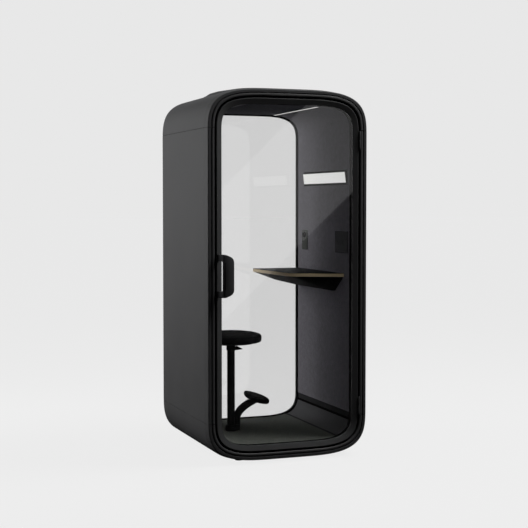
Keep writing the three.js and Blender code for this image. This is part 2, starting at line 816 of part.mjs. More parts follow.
// Hood, or the space inside it: a shallow cover on the roof's own places, sloping at all its edges
function hoodBody(wall) {
  const half = hoodHalfWidth - wall;
  const front = hoodFront + wall;
  const rear = hoodRear - wall;
  const foot = wall > 0 ? -fit + hoodWall : -fit;
  const depths = [front, front + hoodFrontSlope, rear - hoodRearSlope, rear];
  const inner = placesBetween(atX(half - hoodSideSlope, 1), atX(hoodSideSlope - half, 1), 0);
  const places = [atX(half, 1), ...inner, atX(-half, 1)];
  const positions = [];
  depths.forEach((depth, row) => {
    const tops = places.map((place, column) => {
      const edge = row % (depths.length - 1) === 0 || column % (places.length - 1) === 0;
      const [x, z] = place(-fit);
      return [x, depth, z + (edge ? hoodWall : hoodHeight) - wall];
    });
    const feet = places.map((place) => [place(foot)[0], depth, place(foot)[1]]);
    positions.push(...tops.flat(), ...feet.flat());
  });
  return skinBody(positions, depths.length, places.length);
}

// Joins rows of upper and lower points into one closed body
function skinBody(positions, rows, columns) {
  const index = [];
  const upper = (row, column) => row * 2 * columns + column;
  const lower = (row, column) => upper(row, column) + columns;
  const quad = (a, b, c, d) => index.push(a, b, c, a, c, d);
  for (let row = 0; row + 1 < rows; row++) {
    for (let column = 0; column + 1 < columns; column++) {
      quad(upper(row, column), upper(row, column + 1), upper(row + 1, column + 1), upper(row + 1, column));
      quad(lower(row, column), lower(row + 1, column), lower(row + 1, column + 1), lower(row, column + 1));
    }
    quad(upper(row, 0), upper(row + 1, 0), lower(row + 1, 0), lower(row, 0));
    const end = columns - 1;
    quad(upper(row, end), lower(row, end), lower(row + 1, end), upper(row + 1, end));
  }
  for (let column = 0; column + 1 < columns; column++) {
    const last = rows - 1;
    quad(upper(0, column), lower(0, column), lower(0, column + 1), upper(0, column + 1));
    quad(upper(last, column), upper(last, column + 1), lower(last, column + 1), lower(last, column));
  }
  return closedBody(positions, index);
}

function buildHood() {
  addPart('roof_hood', cut(hoodBody(0), hoodBody(hoodWall)), shellPaint());
}

// Base frame: a ladder of steel bars on the base shell, which the feet carry
function buildBase() {
  const foot = facetFoot(skin, frameHalfWidth) + fit;
  const low = [-frameHalfWidth, linerFront + frameEndGap];
  const high = [frameHalfWidth, linerRear - frameEndGap];
  const ladder = roundedRectangle(low, high, frameBar / 4);
  const middle = (low[1] + high[1]) / 2;
  const bays = [[low[1], middle], [middle, high[1]]];
  for (const [from, to] of bays) {
    const near = [low[0] + frameBar, from + frameBar * (from === middle ? 0.5 : 1)];
    const far = [high[0] - frameBar, to - frameBar * (to === middle ? 0.5 : 1)];
    ladder.holes.push(roundedRectangle(near, far, frameBar / 6));
  }
  addPart('base_frame', levelPlate(ladder, foot, foot + frameHeight), steel());
  footPlaces().forEach(([x, y], number) => {
    const padTop = -footDrop + footPadHeight;
    const profile = [
      new THREE.Vector2(0, -footDrop),
      new THREE.Vector2(footPad, -footDrop),
      new THREE.Vector2(footPad, padTop - footPadSlopeDown),
      new THREE.Vector2(footPad - footPadSlopeIn, padTop),
      new THREE.Vector2(footStem, padTop),
      new THREE.Vector2(footStem, foot - fit),
      new THREE.Vector2(0, foot - fit),
    ];
    const geometry = new THREE.LatheGeometry(profile, roundSides).rotateX(quarter).translate(x, y, 0);
    addPart(`levelling_foot_${number + 1}`, geometry, blackRubber());
  });
}

// Desk outline from above: straight along rear and wall, a rounded free corner
function deskShape(inset) {
  const rear = linerRear - deskRearGap - inset;
  const wall = wallX;
  const shape = new THREE.Shape();
  shape.moveTo(wall, rear);
  shape.lineTo(wall - deskReachRear + inset, rear);
  shape.lineTo(wall - deskReachFront + inset, deskStraightFrom);
  shape.quadraticCurveTo(
    wall - deskReachFront + inset, deskCornerY + inset, wall - deskCornerReach + inset, deskCornerY + inset,
  );
  shape.lineTo(wall, deskFrontAtWall + inset);
  return shape;
}

function buildDesk() {
  const plyTop = deskTop - laminate - fit;
  addPart('desk_laminate', levelPlate(deskShape(0), deskTop - laminate, deskTop), blackLaminate());
  addPart('desk_ply', levelPlate(deskShape(0), plyTop - ply, plyTop), birchPly());
  const top = plyTop - ply - fit;
  const points = deskShape(deskBodyInset).getPoints(8).map(({ x, y }) => new THREE.Vector3(x, y, top));
  const rear = linerRear - deskRearGap - deskBodyInset;
  for (const y of [deskBodyFront, rear]) {
    points.push(new THREE.Vector3(wallX, y, top - deskBodyHeight));
    points.push(new THREE.Vector3(wallX - deskBodyFoot, y, top - deskBodyHeight));
  }
  addPart('desk_body', new ConvexGeometry(points), deskPaint());
}

// Wall light: a wedge that tips its lens down
function buildWallLight() {
  const profile = [
    new THREE.Vector2(wallX, wallLightFoot),
    new THREE.Vector2(wallX, wallLightTop),
    new THREE.Vector2(wallX - wallLightTopOut, wallLightTop),
    new THREE.Vector2(wallX - wallLightFootOut, wallLightFoot),
  ];
  const wedge = uprightPlate(new THREE.Shape(profile), wallLightFront, wallLightRear);
  addPart('wall_light_housing', wedge, blackMetal());
  const [, , topOut, footOut] = profile;
  const along = topOut.clone().sub(footOut).normalize();
  const out = new THREE.Vector2(-along.y, along.x);
  const low = footOut.clone().addScaledVector(along, wallLensMargin).addScaledVector(out, fit);
  const high = topOut.clone().addScaledVector(along, -wallLensMargin).addScaledVector(out, fit);
  const lens = [
    low,
    high,
    high.clone().addScaledVector(out, wallLensThickness),
    low.clone().addScaledVector(out, wallLensThickness),
  ];
  const from = wallLightFront + wallLensMargin;
  const to = wallLightRear - wallLensMargin;
  addPart('wall_light_lens', uprightPlate(new THREE.Shape(lens), from, to), lamp());
}

// A plate on the right-hand wall, drawn in y and z, standing off the wall between two distances
function wallPlate(shape, near, far) {
  const geometry = new THREE.ExtrudeGeometry(shape, {
    depth: far - near,
    bevelEnabled: false,
    curveSegments: 6,
  });
  return geometry.rotateX(quarter).rotateZ(quarter).translate(wallX - far, 0, 0);
}

function wallCylinder(radius, near, far, y, z) {
  const geometry = new THREE.CylinderGeometry(radius, radius, far - near, roundSides);
  return geometry.rotateZ(quarter).translate(wallX - (near + far) / 2, y, z);
}

function buildControls() {
  const plate = roundedRectangle([controlFront, controlZ[0]], [controlRear, controlZ[1]], controlCorner);
  const hole = new THREE.Path();
  hole.absarc(buttonY, buttonZ, buttonRadius + buttonClearance, 0, 2 * Math.PI, true);
  plate.holes.push(hole);
  addPart('control_plate', wallPlate(plate, 0, controlThickness), greyPlastic());
  const knobFrom = controlThickness + fit;
  const knob = wallCylinder(knobRadius, knobFrom, knobFrom + knobDepth, knobY, knobZ);
  addPart('dimmer_knob', knob, blackMetal());
  const button = wallCylinder(buttonRadius, buttonBack, controlThickness + buttonOut, buttonY, buttonZ);
  addPart('fan_button', button, blackMetal());
  const bezel = roundedRectangle([socketY[0], socketZ[0]], [socketY[1], socketZ[1]], socketCorner);
  const low = [socketY[0] + socketBezel, socketZ[0] + socketBezel];
  const high = [socketY[1] - socketBezel, socketZ[1] - socketBezel];
  bezel.holes.push(roundedRectangle(low, high, socketCorner / 2));
  addPart('socket_bezel', wallPlate(bezel, 0, socketThickness), blackMetal());
  const insertLow = low.map((value) => value + fit);
  const insertHigh = high.map((value) => value - fit);
  const insert = wallPlate(
    roundedRectangle(insertLow, insertHigh, socketCorner / 2), 0, socketThickness - socketSetback,
  );
  const middleY = (socketY[0] + socketY[1]) / 2;
  const middleZ = (socketZ[0] + socketZ[1]) / 2;
  const face = socketThickness - socketSetback;
  const wells = [-1, 1].map((side) => {
    const along = middleY + (side * socketPitch) / 2;
    return wallCylinder(socketHole, face - socketDepth, face + socketDepth, along, middleZ);
  });
  addPart('socket_insert', cut(insert, ...wells), blackRubber());
}

// Stool, set back from the door on the left, its footrest towards the desk
const blockFoot = facetFoot(carpetTop, stoolX - blockRound) + fit;
const blockTop = blockFoot + blockHeight;
const columnFoot = blockTop + fit;
const columnTop = columnFoot + columnHeight;
const hubFoot = columnTop + fit;
const hubTop = hubFoot + hubHeight;
const panFoot = hubTop + fit;
const cushionFoot = panFoot + panHeight + fit;

function lathe(profile, sides) {
  const points = profile.map(([radius, height]) => new THREE.Vector2(radius, height));
  return new THREE.LatheGeometry(points, sides).rotateX(quarter).translate(stoolX, stoolY, 0);
}

function buildStoolFoot() {
  const shape = new THREE.Shape();
  const armX = stoolX + armOffset;
  const lean = Math.acos((blockRound - blockArmRound) / armOffset);
  shape.absarc(stoolX, stoolY, blockRound, lean, 2 * Math.PI - lean, false);
  shape.absarc(armX, stoolY, blockArmRound, -lean, lean, false);
  addPart('stool_floor_block', levelPlate(shape, blockFoot, blockTop), blackMetal());
  const tube = [
    [columnBore, columnFoot],
    [columnRadius, columnFoot],
    [columnRadius, columnTop],
    [columnBore, columnTop],
    [columnBore, columnFoot],
  ];
  addPart('stool_column', lathe(tube, roundSides), blackMetal());
}

function buildSeat() {
  const postFoot = columnTop - postLength;
  const postTop = hubFoot + hubHeight / 2;
  const post = [[0, postFoot], [postRadius, postFoot], [postRadius, postTop], [0, postTop]];
  addPart('gas_post', lathe(post, roundSides), steel());
  const socketTop = postTop + fit;
  const hub = [
    [0, socketTop],
    [postRadius + fit, socketTop],
    [postRadius + fit, hubFoot],
    [hubRadius, hubFoot],
    [hubRadius, hubTop],
    [0, hubTop],
  ];
  addPart('swivel_hub', lathe(hub, roundSides), blackMetal());
  const pan = [
    [0, panFoot],
    [hubRadius, panFoot],
    [panRadius, panFoot + panHeight / 2],
    [panRadius, panFoot + panHeight],
    [0, panFoot + panHeight],
  ];
  addPart('seat_pan', lathe(pan, fineSides), blackRubber());
  addPart('seat_cushion', lathe(cushionProfile(), cushionSides), blackCloth());
  addPart('height_lever', heightLever(), blackMetal());
}

// Lever with round ends, drooping from its root beside the hub
function heightLever() {
  const rod = new THREE.CapsuleGeometry(leverRadius, leverLength, 4, 14);
  rod.rotateZ(quarter).translate(leverLength / 2, 0, 0).rotateY(leverDroop);
  return rod.translate(stoolX + hubRadius + leverRadius + fit, stoolY, hubFoot + leverRise);
}

// Cushion from the middle of its belly, round its drawn-in rim, to its crown
function cushionProfile() {
  const rimFoot = cushionFoot + cushionBelly;
  const rimTop = cushionFoot + cushionHeight - cushionCrown;
  const rimHalf = (rimTop - rimFoot) / 2;
  const rimMiddle = (rimTop + rimFoot) / 2;
  const flat = cushionRadius - rimHalf;
  const profile = [[0, cushionFoot], [panRadius, cushionFoot]];
  for (let i = 0; i <= filletSteps; i++) {
    const angle = -quarter + (Math.PI * i) / filletSteps;
    profile.push([flat + rimHalf * Math.cos(angle), rimMiddle + rimHalf * Math.sin(angle)]);
  }
  for (const share of crownShares) {
    profile.push([flat * share, rimTop + cushionCrown * (1 - share ** crownPower)]);
  }
  return profile;
}

// Footrest: an arm that rises beside the column, bends over and carries a long pad
function buildFootrest() {
  const armX = stoolX + armOffset;
  const foot = blockTop + fit;
  const padX = stoolX + padReach;
  const path = new THREE.CurvePath();
  const start = new THREE.Vector3(armX, stoolY, foot);
  const bend = new THREE.Vector3(armX, stoolY, foot + armUpright);
  const elbow = new THREE.Vector3(armX, stoolY, foot + armElbow);
  const end = new THREE.Vector3(armX + armReach, stoolY, padHeight - padThickness / 2);
  path.add(new THREE.LineCurve3(start, bend));
  path.add(new THREE.QuadraticBezierCurve3(bend, elbow, end));
  const round = new THREE.Shape();
  round.absarc(0, 0, armRadius, 0, 2 * Math.PI, false);
  const arm = new THREE.ExtrudeGeometry(round, {
    extrudePath: path,
    steps: 14,
    curveSegments: 7,
    bevelEnabled: false,
  });
  const outline = new THREE.Shape();
  const edge = padThickness / 3;
  outline.absellipse(0, 0, padHalfWidth - edge, padHalfLength - edge, 0, 2 * Math.PI);
  const plate = new THREE.ExtrudeGeometry(outline, {
    depth: edge,
    bevelThickness: edge,
    bevelSize: edge,
    bevelSegments: 3,
    curveSegments: 18,
  });
  plate.translate(padX, stoolY, padHeight - edge / 2);
  addPart('footrest_pad', plate, blackRubber());
  addPart('footrest_arm', cut(arm, grown(plate)), blackMetal());
}

// The pad's space with the clearance that keeps its arm just off it
function grown(plate) {
  const middle = new THREE.Vector3(stoolX + padReach, stoolY, padHeight);
  const factor = 1 + (2 * fit) / padThickness;
  const copy = plate.clone().translate(-middle.x, -middle.y, -middle.z);
  return copy.scale(factor, factor, factor).translate(middle.x, middle.y, middle.z);
}

buildShell();
buildTrim();
buildJamb();
buildDoor();
buildHandle();
buildHinges();
buildRear();
buildLinings();
buildCores();
buildLightLine();
buildFan();
buildHood();
buildBase();
buildDesk();
buildWallLight();
buildControls();
buildStoolFoot();
buildSeat();
buildFootrest();

const part = new THREE.Group();
part.add(pod);

export default part;
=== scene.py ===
from math import acos, atan2, cos, pi, radians, sin, tan

import bmesh
import bpy
from mathutils import Matrix, Vector


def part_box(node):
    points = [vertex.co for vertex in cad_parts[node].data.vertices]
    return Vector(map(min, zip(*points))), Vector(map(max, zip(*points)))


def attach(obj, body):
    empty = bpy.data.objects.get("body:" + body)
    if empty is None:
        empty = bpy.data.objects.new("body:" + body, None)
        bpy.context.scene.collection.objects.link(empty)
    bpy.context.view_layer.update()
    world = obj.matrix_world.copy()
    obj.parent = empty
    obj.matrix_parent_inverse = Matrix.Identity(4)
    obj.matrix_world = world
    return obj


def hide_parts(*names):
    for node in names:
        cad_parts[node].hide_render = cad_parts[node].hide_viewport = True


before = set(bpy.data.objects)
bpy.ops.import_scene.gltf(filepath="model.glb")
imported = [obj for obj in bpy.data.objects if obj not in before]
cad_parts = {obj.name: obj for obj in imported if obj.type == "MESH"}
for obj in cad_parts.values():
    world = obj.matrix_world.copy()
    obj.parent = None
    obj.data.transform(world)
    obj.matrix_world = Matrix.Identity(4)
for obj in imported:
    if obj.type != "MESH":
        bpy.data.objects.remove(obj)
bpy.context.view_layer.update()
scene = bpy.context.scene
scene.view_settings.view_transform = "Standard"

# the camera stands to the left of the door, some 7 m off, and looks in to the right
photoView = {"place": (-2.6520, -7.1602, 1.5433), "turnRight": 0.35561, "lookDown": 0.04916,
             "lens": 82.38, "sensor": 36, "farthest": 200}
cameraData = bpy.data.cameras.new("photoCamera")
cameraData.lens = photoView["lens"]
cameraData.sensor_width = photoView["sensor"]
cameraData.clip_end = photoView["farthest"]
camera = bpy.data.objects.new("photoCamera", cameraData)
camera.location = photoView["place"]
camera.rotation_euler = (pi / 2 - photoView["lookDown"], 0, -photoView["turnRight"])
scene.collection.objects.link(camera)
scene.camera = camera
print("camera set")


# colours and nodes

def linear(hexColour):
    shades = [int(hexColour[i:i + 2], 16) / 255 for i in (0, 2, 4)]
    return [s / 12.92 if s <= 0.04045 else ((s + 0.055) / 1.055) ** 2.4 for s in shades] + [1]


def addNode(tree, kind, settings=None, links=None):  # a node given as a link stands for its first output
    node = tree.nodes.new("ShaderNode" + kind)
    for key, value in (settings or {}).items():
        if key == "ramp":
            for stop, (place, tone) in zip(node.color_ramp.elements, value):
                stop.position, stop.color = place, linear(tone)
        elif isinstance(key, int) or key in node.inputs:
            node.inputs[key].default_value = value
        else:
            setattr(node, key, value)
    for key, source in (links or {}).items():
        tree.links.new(source.outputs[0] if hasattr(source, "outputs") else source, node.inputs[key])
    return node


def newMaterial(name, surface, look):
    material = bpy.data.materials.new(name)
    material.use_nodes = True
    tree = material.node_tree
    tree.nodes.clear()
    coords = addNode(tree, "TexCoord").outputs["Object"]
    addNode(tree, "OutputMaterial", links={"Surface": surface(tree, coords, look)})
    return material


def perMm(size):  # noise scale for a grain of so many millimetres, on coordinates in metres
    return 1000 / size


def wavePerMm(size):  # the same for a wave texture, which takes its coordinates 20 times
    return perMm(size) / 20


def lacquer(tree, coords, look):  # sprayed paint: even colour, faint orange peel, slightly cloudy gloss
    cloud = addNode(tree, "TexNoise", {"Scale": perMm(look["cloudMm"]), "Detail": 3.0}, {"Vector": coords})
    grain = addNode(tree, "TexNoise", {"Scale": perMm(look["grainMm"]), "Detail": 2.0}, {"Vector": coords})
    colour = addNode(tree, "ValToRGB", {"ramp": ((0.3, look["dark"]), (0.7, look["light"]))}, {"Fac": cloud})
    rough = look["roughness"]
    gloss = addNode(tree, "MapRange", {"To Min": rough - 0.05, "To Max": rough + 0.05}, {"Value": cloud})
    peel = addNode(tree, "Bump", {"Strength": look["peel"], "Distance": 0.0004}, {"Height": grain})
    return addNode(tree, "BsdfPrincipled",
                   {"Metallic": look["metallic"], "Specular IOR Level": look["specular"]},
                   {"Base Color": colour, "Roughness": gloss, "Normal": peel})


def needledFelt(tree, coords, look):  # pressed polyester fibre: mottled, fuzzy, no gloss
    mottle = addNode(tree, "TexNoise", {"Scale": perMm(look["mottleMm"]), "Detail": 4.0, "Roughness": 0.6},
                     {"Vector": coords})
    fibre = addNode(tree, "TexNoise", {"Scale": perMm(look["fibreMm"]), "Detail": 3.0, "Distortion": 1.2},
                    {"Vector": coords})
    both = addNode(tree, "Math", {"operation": "MULTIPLY_ADD", 1: 0.55}, {0: fibre, 2: mottle})
    colour = addNode(tree, "ValToRGB", {"ramp": ((0.55, look["dark"]), (1.0, look["light"]))}, {"Fac": both})
    fuzz = addNode(tree, "Bump", {"Strength": look["fuzz"], "Distance": 0.0012}, {"Height": fibre})
    dull = {"Roughness": 0.95, "Sheen Weight": 0.06, "Sheen Roughness": 0.6, "Specular IOR Level": 0.05}
    return addNode(tree, "BsdfPrincipled", dull, {"Base Color": colour, "Normal": fuzz})


def clearGlass(tree, coords, look):  # float glass, polished by the float bath; lamps shine through it
    ripple = addNode(tree, "TexNoise", {"Scale": perMm(look["rippleMm"]), "Detail": 1.0}, {"Vector": coords})
    haze = addNode(tree, "MapRange", {"To Min": 0.0, "To Max": look["haze"]}, {"Value": ripple})
    colour = linear(look["colour"])
    glass = {"Base Color": colour, "IOR": look["ior"], "Transmission Weight": 1.0}
    pane = addNode(tree, "BsdfPrincipled", glass, {"Roughness": haze})
    clear = addNode(tree, "BsdfTransparent", {"Color": colour})
    shadow = addNode(tree, "LightPath").outputs["Is Shadow Ray"]
    return addNode(tree, "MixShader", links={0: shadow, 1: pane, 2: clear})


def opalLens(tree, coords, look):  # opal acrylic lit from behind: an even glow on a duller face
    drift = addNode(tree, "TexNoise", {"Scale": perMm(look["driftMm"])}, {"Vector": coords})
    faceTones = ((0.3, look["faceDark"]), (0.7, look["faceLight"]))
    face = addNode(tree, "ValToRGB", {"ramp": faceTones}, {"Fac": drift})
    glow = addNode(tree, "ValToRGB", {"ramp": ((0.3, look["dark"]), (0.7, look["light"]))}, {"Fac": drift})
    return addNode(tree, "BsdfPrincipled", {"Roughness": 0.6, "Emission Strength": look["strength"]},
                   {"Base Color": face, "Emission Color": glow})


def loopCarpet(tree, coords, look):  # short loops set close, two yarn shades: flecked, quite dull
    loops = addNode(tree, "TexVoronoi", {"Scale": perMm(look["loopMm"]), "Randomness": 0.7},
                    {"Vector": coords})
    fleck = addNode(tree, "TexNoise", {"Scale": perMm(look["fleckMm"]), "Detail": 3.0}, {"Vector": coords})
    yarns = ((0.35, look["dark"]), (0.65, look["light"]))
    colour = addNode(tree, "ValToRGB", {"ramp": yarns}, {"Fac": fleck})
    pile = addNode(tree, "Bump", {"Strength": 0.8, "Distance": 0.0025, "invert": True}, {"Height": loops})
    dull = {"Roughness": 1.0, "Sheen Weight": 0.05, "Specular IOR Level": 0.05}
    return addNode(tree, "BsdfPrincipled", dull, {"Base Color": colour, "Normal": pile})


def birchPly(tree, coords, look):  # cross-laid birch veneers, face grain and end grain in turn
    bands = {"bands_direction": "Z", "Scale": 2 * wavePerMm(look["veneerMm"]), "Distortion": 0.4,
             "Detail": 1.0, "Detail Scale": 2.0}
    layers = addNode(tree, "TexWave", bands, {"Vector": coords})
    stretch = addNode(tree, "Mapping", {"Scale": (1.0, 1.0, 12.0)}, {"Vector": coords})
    grain = addNode(tree, "TexNoise", {"Scale": perMm(look["grainMm"]), "Detail": 4.0}, {"Vector": stretch})
    mixed = addNode(tree, "Math", {"operation": "MULTIPLY_ADD", 1: 0.5}, {0: layers.outputs["Fac"], 2: grain})
    colour = addNode(tree, "ValToRGB", {"ramp": ((0.45, look["dark"]), (1.0, look["light"]))}, {"Fac": mixed})
    pores = addNode(tree, "Bump", {"Strength": 0.3, "Distance": 0.0004}, {"Height": grain})
    return addNode(tree, "BsdfPrincipled", {"Roughness": 0.55}, {"Base Color": colour, "Normal": pores})


def wovenCloth(tree, coords, look):  # plain-weave upholstery: threads over and under, slight sheen
    bands = {"Scale": wavePerMm(look["threadMm"]), "Distortion": 0.6}
    across, along = (addNode(tree, "TexWave", {**bands, "bands_direction": way}, {"Vector": coords})
                     for way in "XY")
    weave = addNode(tree, "Math", {"operation": "MULTIPLY"},
                    {0: across.outputs["Fac"], 1: along.outputs["Fac"]})
    fleck = addNode(tree, "TexNoise", {"Scale": perMm(look["fleckMm"]), "Detail": 3.0}, {"Vector": coords})
    colour = addNode(tree, "ValToRGB", {"ramp": ((0.3, look["dark"]), (0.7, look["light"]))}, {"Fac": fleck})
    threads = addNode(tree, "Bump", {"Strength": 0.5, "Distance": 0.0006}, {"Height": weave})
    soft = {"Roughness": 0.95, "Sheen Weight": 0.08, "Sheen Roughness": 0.5, "Specular IOR Level": 0.12}
    return addNode(tree, "BsdfPrincipled", soft, {"Base Color": colour, "Normal": threads})


# painted, moulded and bare surfaces; the grain is drawn coarser than the real 0.3 mm so that it can show
columns = ("name", "dark", "light", "cloudMm", "grainMm", "peel", "roughness", "specular", "metallic")
coats = {
    # satin lacquer: soft highlights on the edges, hardly any texture
    "shellLacquer": ("shellLacquer", "464647", "4b4b4c", 240, 1.6, 0.12, 0.68, 0.25, 0),
    "trimLacquer": ("trimLacquer", "464647", "4b4b4c", 200, 1.4, 0.08, 0.48, 0.35, 0),
    "doorLacquer": ("doorLacquer", "444445", "494a4a", 220, 1.5, 0.1, 0.6, 0.3, 0),
    "trayLacquer": ("trayLacquer", "545456", "5a5a5c", 200, 1.4, 0.12, 0.8, 0.08, 0),
    # powder coat: finely pebbled
    "handlePowder": ("greyPowderCoat", "404042", "474749", 90, 1.2, 0.2, 0.5, 0.35, 0),
    "blackPowder": ("blackPowderCoat", "0d0d0e", "121213", 120, 1.1, 0.2, 0.6, 0.1, 0),
    # black paint on metal and board: deep and dull
    "blackAluminium": ("blackLacqueredAluminium", "0a0a0b", "0e0e0f", 160, 1.2, 0.12, 0.7, 0.04, 0),
    "deskPaint": ("blackPaintedBoard", "0d0d0e", "111112", 150, 1.3, 0.2, 0.75, 0.06, 0),
    # plastics from mould, die and press: a faint even grain
    "blackPlastic": ("mouldedBlackPlastic", "111112", "161617", 80, 0.9, 0.3, 0.8, 0.03, 0),
    "skirtingPlastic": ("extrudedGreyPlastic", "242426", "29292b", 90, 0.9, 0.15, 0.75, 0.08, 0),
    "plateGrey": ("mouldedGreyPlastic", "525451", "585a57", 60, 0.8, 0.2, 0.7, 0.08, 0),
    "socketPlastic": ("mouldedCharcoalPlastic", "48484a", "4e4e50", 60, 0.9, 0.3, 0.7, 0.06, 0),
    "deskLaminate": ("blackHighPressureLaminate", "0e0e0f", "121213", 90, 1.0, 0.25, 0.6, 0.06, 0),
    # rubber: black, without gloss; and a flat black that paints the shade in the joint of skirting and tray
    "blackRubber": ("blackRubber", "0a0a0b", "0e0e0f", 40, 0.8, 0.15, 0.8, 0.08, 0),
    "blackFoam": ("blackFoamStrip", "030303", "050505", 30, 1.0, 0.2, 0.95, 0.0, 0),
    # steel, ground bright
    "bareSteel": ("groundSteel", "8c8e90", "9a9c9e", 50, 0.9, 0.1, 0.3, 0.5, 1),
}
materials = {key: newMaterial(row[0], lacquer, dict(zip(columns, row))) for key, row in coats.items()}

# felts, carpet, glass, acrylic, ply and cloth; tufts, loops and threads too are drawn coarser, to show
others = {
    "soundSlab": ("soundSlab", needledFelt,
                  {"dark": "7d7d77", "light": "93938c", "mottleMm": 30, "fibreMm": 3, "fuzz": 0.6}),
    "wallFelt": ("wallFelt", needledFelt,
                 {"dark": "76747a", "light": "88868d", "mottleMm": 22, "fibreMm": 2.4, "fuzz": 0.5}),
    "ceilingFelt": ("ceilingFelt", needledFelt,
                    {"dark": "42424a", "light": "4e4e56", "mottleMm": 22, "fibreMm": 2.4, "fuzz": 0.5}),
    "floorCarpet": ("loopCarpet", loopCarpet,
                    {"dark": "4d504b", "light": "62655f", "loopMm": 6, "fleckMm": 9}),
    "paneGlass": ("clearLaminatedGlass", clearGlass,
                  {"colour": "f7f7f7", "ior": 1.45, "rippleMm": 400, "haze": 0.004}),
    "litOpal": ("opalAcrylicLit", opalLens, {"faceDark": "7a7a78", "faceLight": "82827f", "dark": "fbfaf6",
                                             "light": "ffffff", "driftMm": 300, "strength": 0.68}),
    "plyEdge": ("birchPlywood", birchPly,
                {"dark": "cdb389", "light": "efdcb5", "veneerMm": 2.2, "grainMm": 5}),
    "seatCloth": ("blackWovenCloth", wovenCloth,
                  {"dark": "0d0d0e", "light": "161617", "threadMm": 3.0, "fleckMm": 5}),
}
for key, row in others.items():
    materials[key] = newMaterial(*row)

# solids that keep their own shape, and only get a finish
shownAsSolid = {"soundSlab": ("roof_core", "left_core", "right_core"),
                "bareSteel": ("base_frame", "power_unit"), "blackPlastic": ("fan_housing", "fan_rotor"),
                "blackAluminium": ("light_line_channel",), "paneGlass": ("door_glass", "rear_glass")}
for look, nodes in shownAsSolid.items():
    for node in nodes:
        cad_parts[node].data.materials[0] = materials[look]
print("materials made")


# the pod's outline, in millimetres from the middle of the door's foot

pod = {"width": 1030, "height": 2220, "front": -451.5, "foot": 12, "cornerAcross": 434, "cornerUp": 290,
       "acrossRatio": 1.49, "upRatio": 1.22, "power": 3.45, "cornerSteps": 26, "closest": 3}
half = {"width": pod["width"] / 2, "height": pod["height"] / 2}


def spot(x, y, z):
    return Vector((x, y + pod["front"], z + pod["foot"])) / 1000


def cornerAt(inset):  # how far a corner reaches across and up, and where it starts
    across = pod["cornerAcross"] - pod["acrossRatio"] * inset
    up = pod["cornerUp"] - pod["upRatio"] * inset
    return across, up, half["width"] - inset - across, half["height"] - inset - up


def within(share):
    return min(max(share, 0), 1)


def cornerCurve(share):
    return (1 - share ** pod["power"]) ** (1 / pod["power"])


def turned(turn, side, end):  # the place where the outline has turned so far from upright
    def place(inset):
        across, up, startX, startZ = cornerAt(inset)
        power = pod["power"] / (pod["power"] - 1)
        level = (across * max(cos(turn), 0)) ** power
        upright = (up * sin(turn)) ** power
        x = startX + across * (level / (level + upright)) ** (1 / pod["power"])
        z = startZ + up * (upright / (level + upright)) ** (1 / pod["power"])
        return side * x, half["height"] + end * z
    return place


def atHeight(height, side):
    def place(inset):
        across, up, startX, startZ = cornerAt(inset)
        share = within((abs(height - half["height"]) - startZ) / up)
        return side * (startX + across * cornerCurve(share)), height
    return place


def atAcross(x, end):
    def place(inset):
        across, up, startX, startZ = cornerAt(inset)
        share = within((abs(x) - startX) / across)
        return x, half["height"] + end * (startZ + up * cornerCurve(share))
    return place


def squareTo(inset, x, end):  # the place square to the outline that passes x at this inset
    across, up, startX, _ = cornerAt(inset)
    share = within((abs(x) - startX) / across)
    power = pod["power"] - 1
    return turned(atan2(cornerCurve(share) ** power / up, share ** power / across), 1 if x > 0 else -1, end)


def wholeRing():
    turns = [pi / 4 * (1 - cos(pi * i / pod["cornerSteps"])) for i in range(pod["cornerSteps"] + 1)]
    ring = []
    for side, end in ((1, 1), (-1, 1), (-1, -1), (1, -1)):
        corner = [turned(turn, side, end) for turn in turns]
        ring += corner if side == end else corner[::-1]
    return ring


def placesBetween(first, last, inset):
    def point(place):
        return Vector(place(inset))

    def bearing(place):
        return atan2(point(place).y - half["height"], point(place).x)

    def past(place):
        return (bearing(place) - bearing(first)) % (2 * pi)

    def clear(place):
        return min((point(place) - point(end)).length for end in (first, last)) > pod["closest"]

    between = [place for place in wholeRing() if past(place) < past(last) and clear(place)]
    return [first] + sorted(between, key=past) + [last]


def archPlaces(height, end, inset):
    return placesBetween(atHeight(height, end), atHeight(height, -end), inset)


def sidePlaces(side, foot, top, inset):
    return placesBetween(*[atHeight(height, side) for height in (foot, top)][::side], inset)


def roundCorners(corners, steps=6):  # corners with a radius each; long flats keep a line beside each round
    besideRound = 0.3
    points = [Vector(corner[:2]) for corner in corners]
    after = [points[(i + 1) % len(points)] - point for i, point in enumerate(points)]
    before = [-after[i - 1] for i in range(len(points))]
    bends = [back.angle(on) / 2 for back, on in zip(before, after)]
    reaches = [corner[2] / tan(bend) for corner, bend in zip(corners, bends)]
    line = []
    for i, (point, bend, (_, _, radius)) in enumerate(zip(points, bends, corners)):
        if radius == 0:
            line.append(tuple(point))
            continue
        back, on = before[i].normalized(), after[i].normalized()
        start, end = point + back * reaches[i], point + on * reaches[i]
        middle = point + (back + on).normalized() * radius / sin(bend)
        if before[i].length - reaches[i] - reaches[i - 1] > radius:
            line.append(tuple(start + back * radius * besideRound))
        swing = (start - middle).angle(end - middle)
        for share in [step / steps for step in range(steps + 1)]:
            sway = (start - middle) * sin((1 - share) * swing) + (end - middle) * sin(share * swing)
            line.append(tuple(middle + sway / sin(swing)))
        if after[i].length - reaches[i] - reaches[(i + 1) % len(points)] > radius:
            line.append(tuple(end + on * radius * besideRound))
    return line


# ways to make a mesh, and to hand it in as a piece

def vertsOf(geometry):
    return [part for part in geometry if isinstance(part, bmesh.types.BMVert)]


def farEdges(geometry):  # the edges of an extrusion that lie wholly in its new vertices
    fresh = set(vertsOf(geometry))
    return [part for part in geometry
            if isinstance(part, bmesh.types.BMEdge) and fresh.issuperset(part.verts)]


def edgesAt(verts):
    return list({edge for vert in verts for edge in vert.link_edges})


def allOf(bm):
    return bm.verts[:] + bm.edges[:] + bm.faces[:]


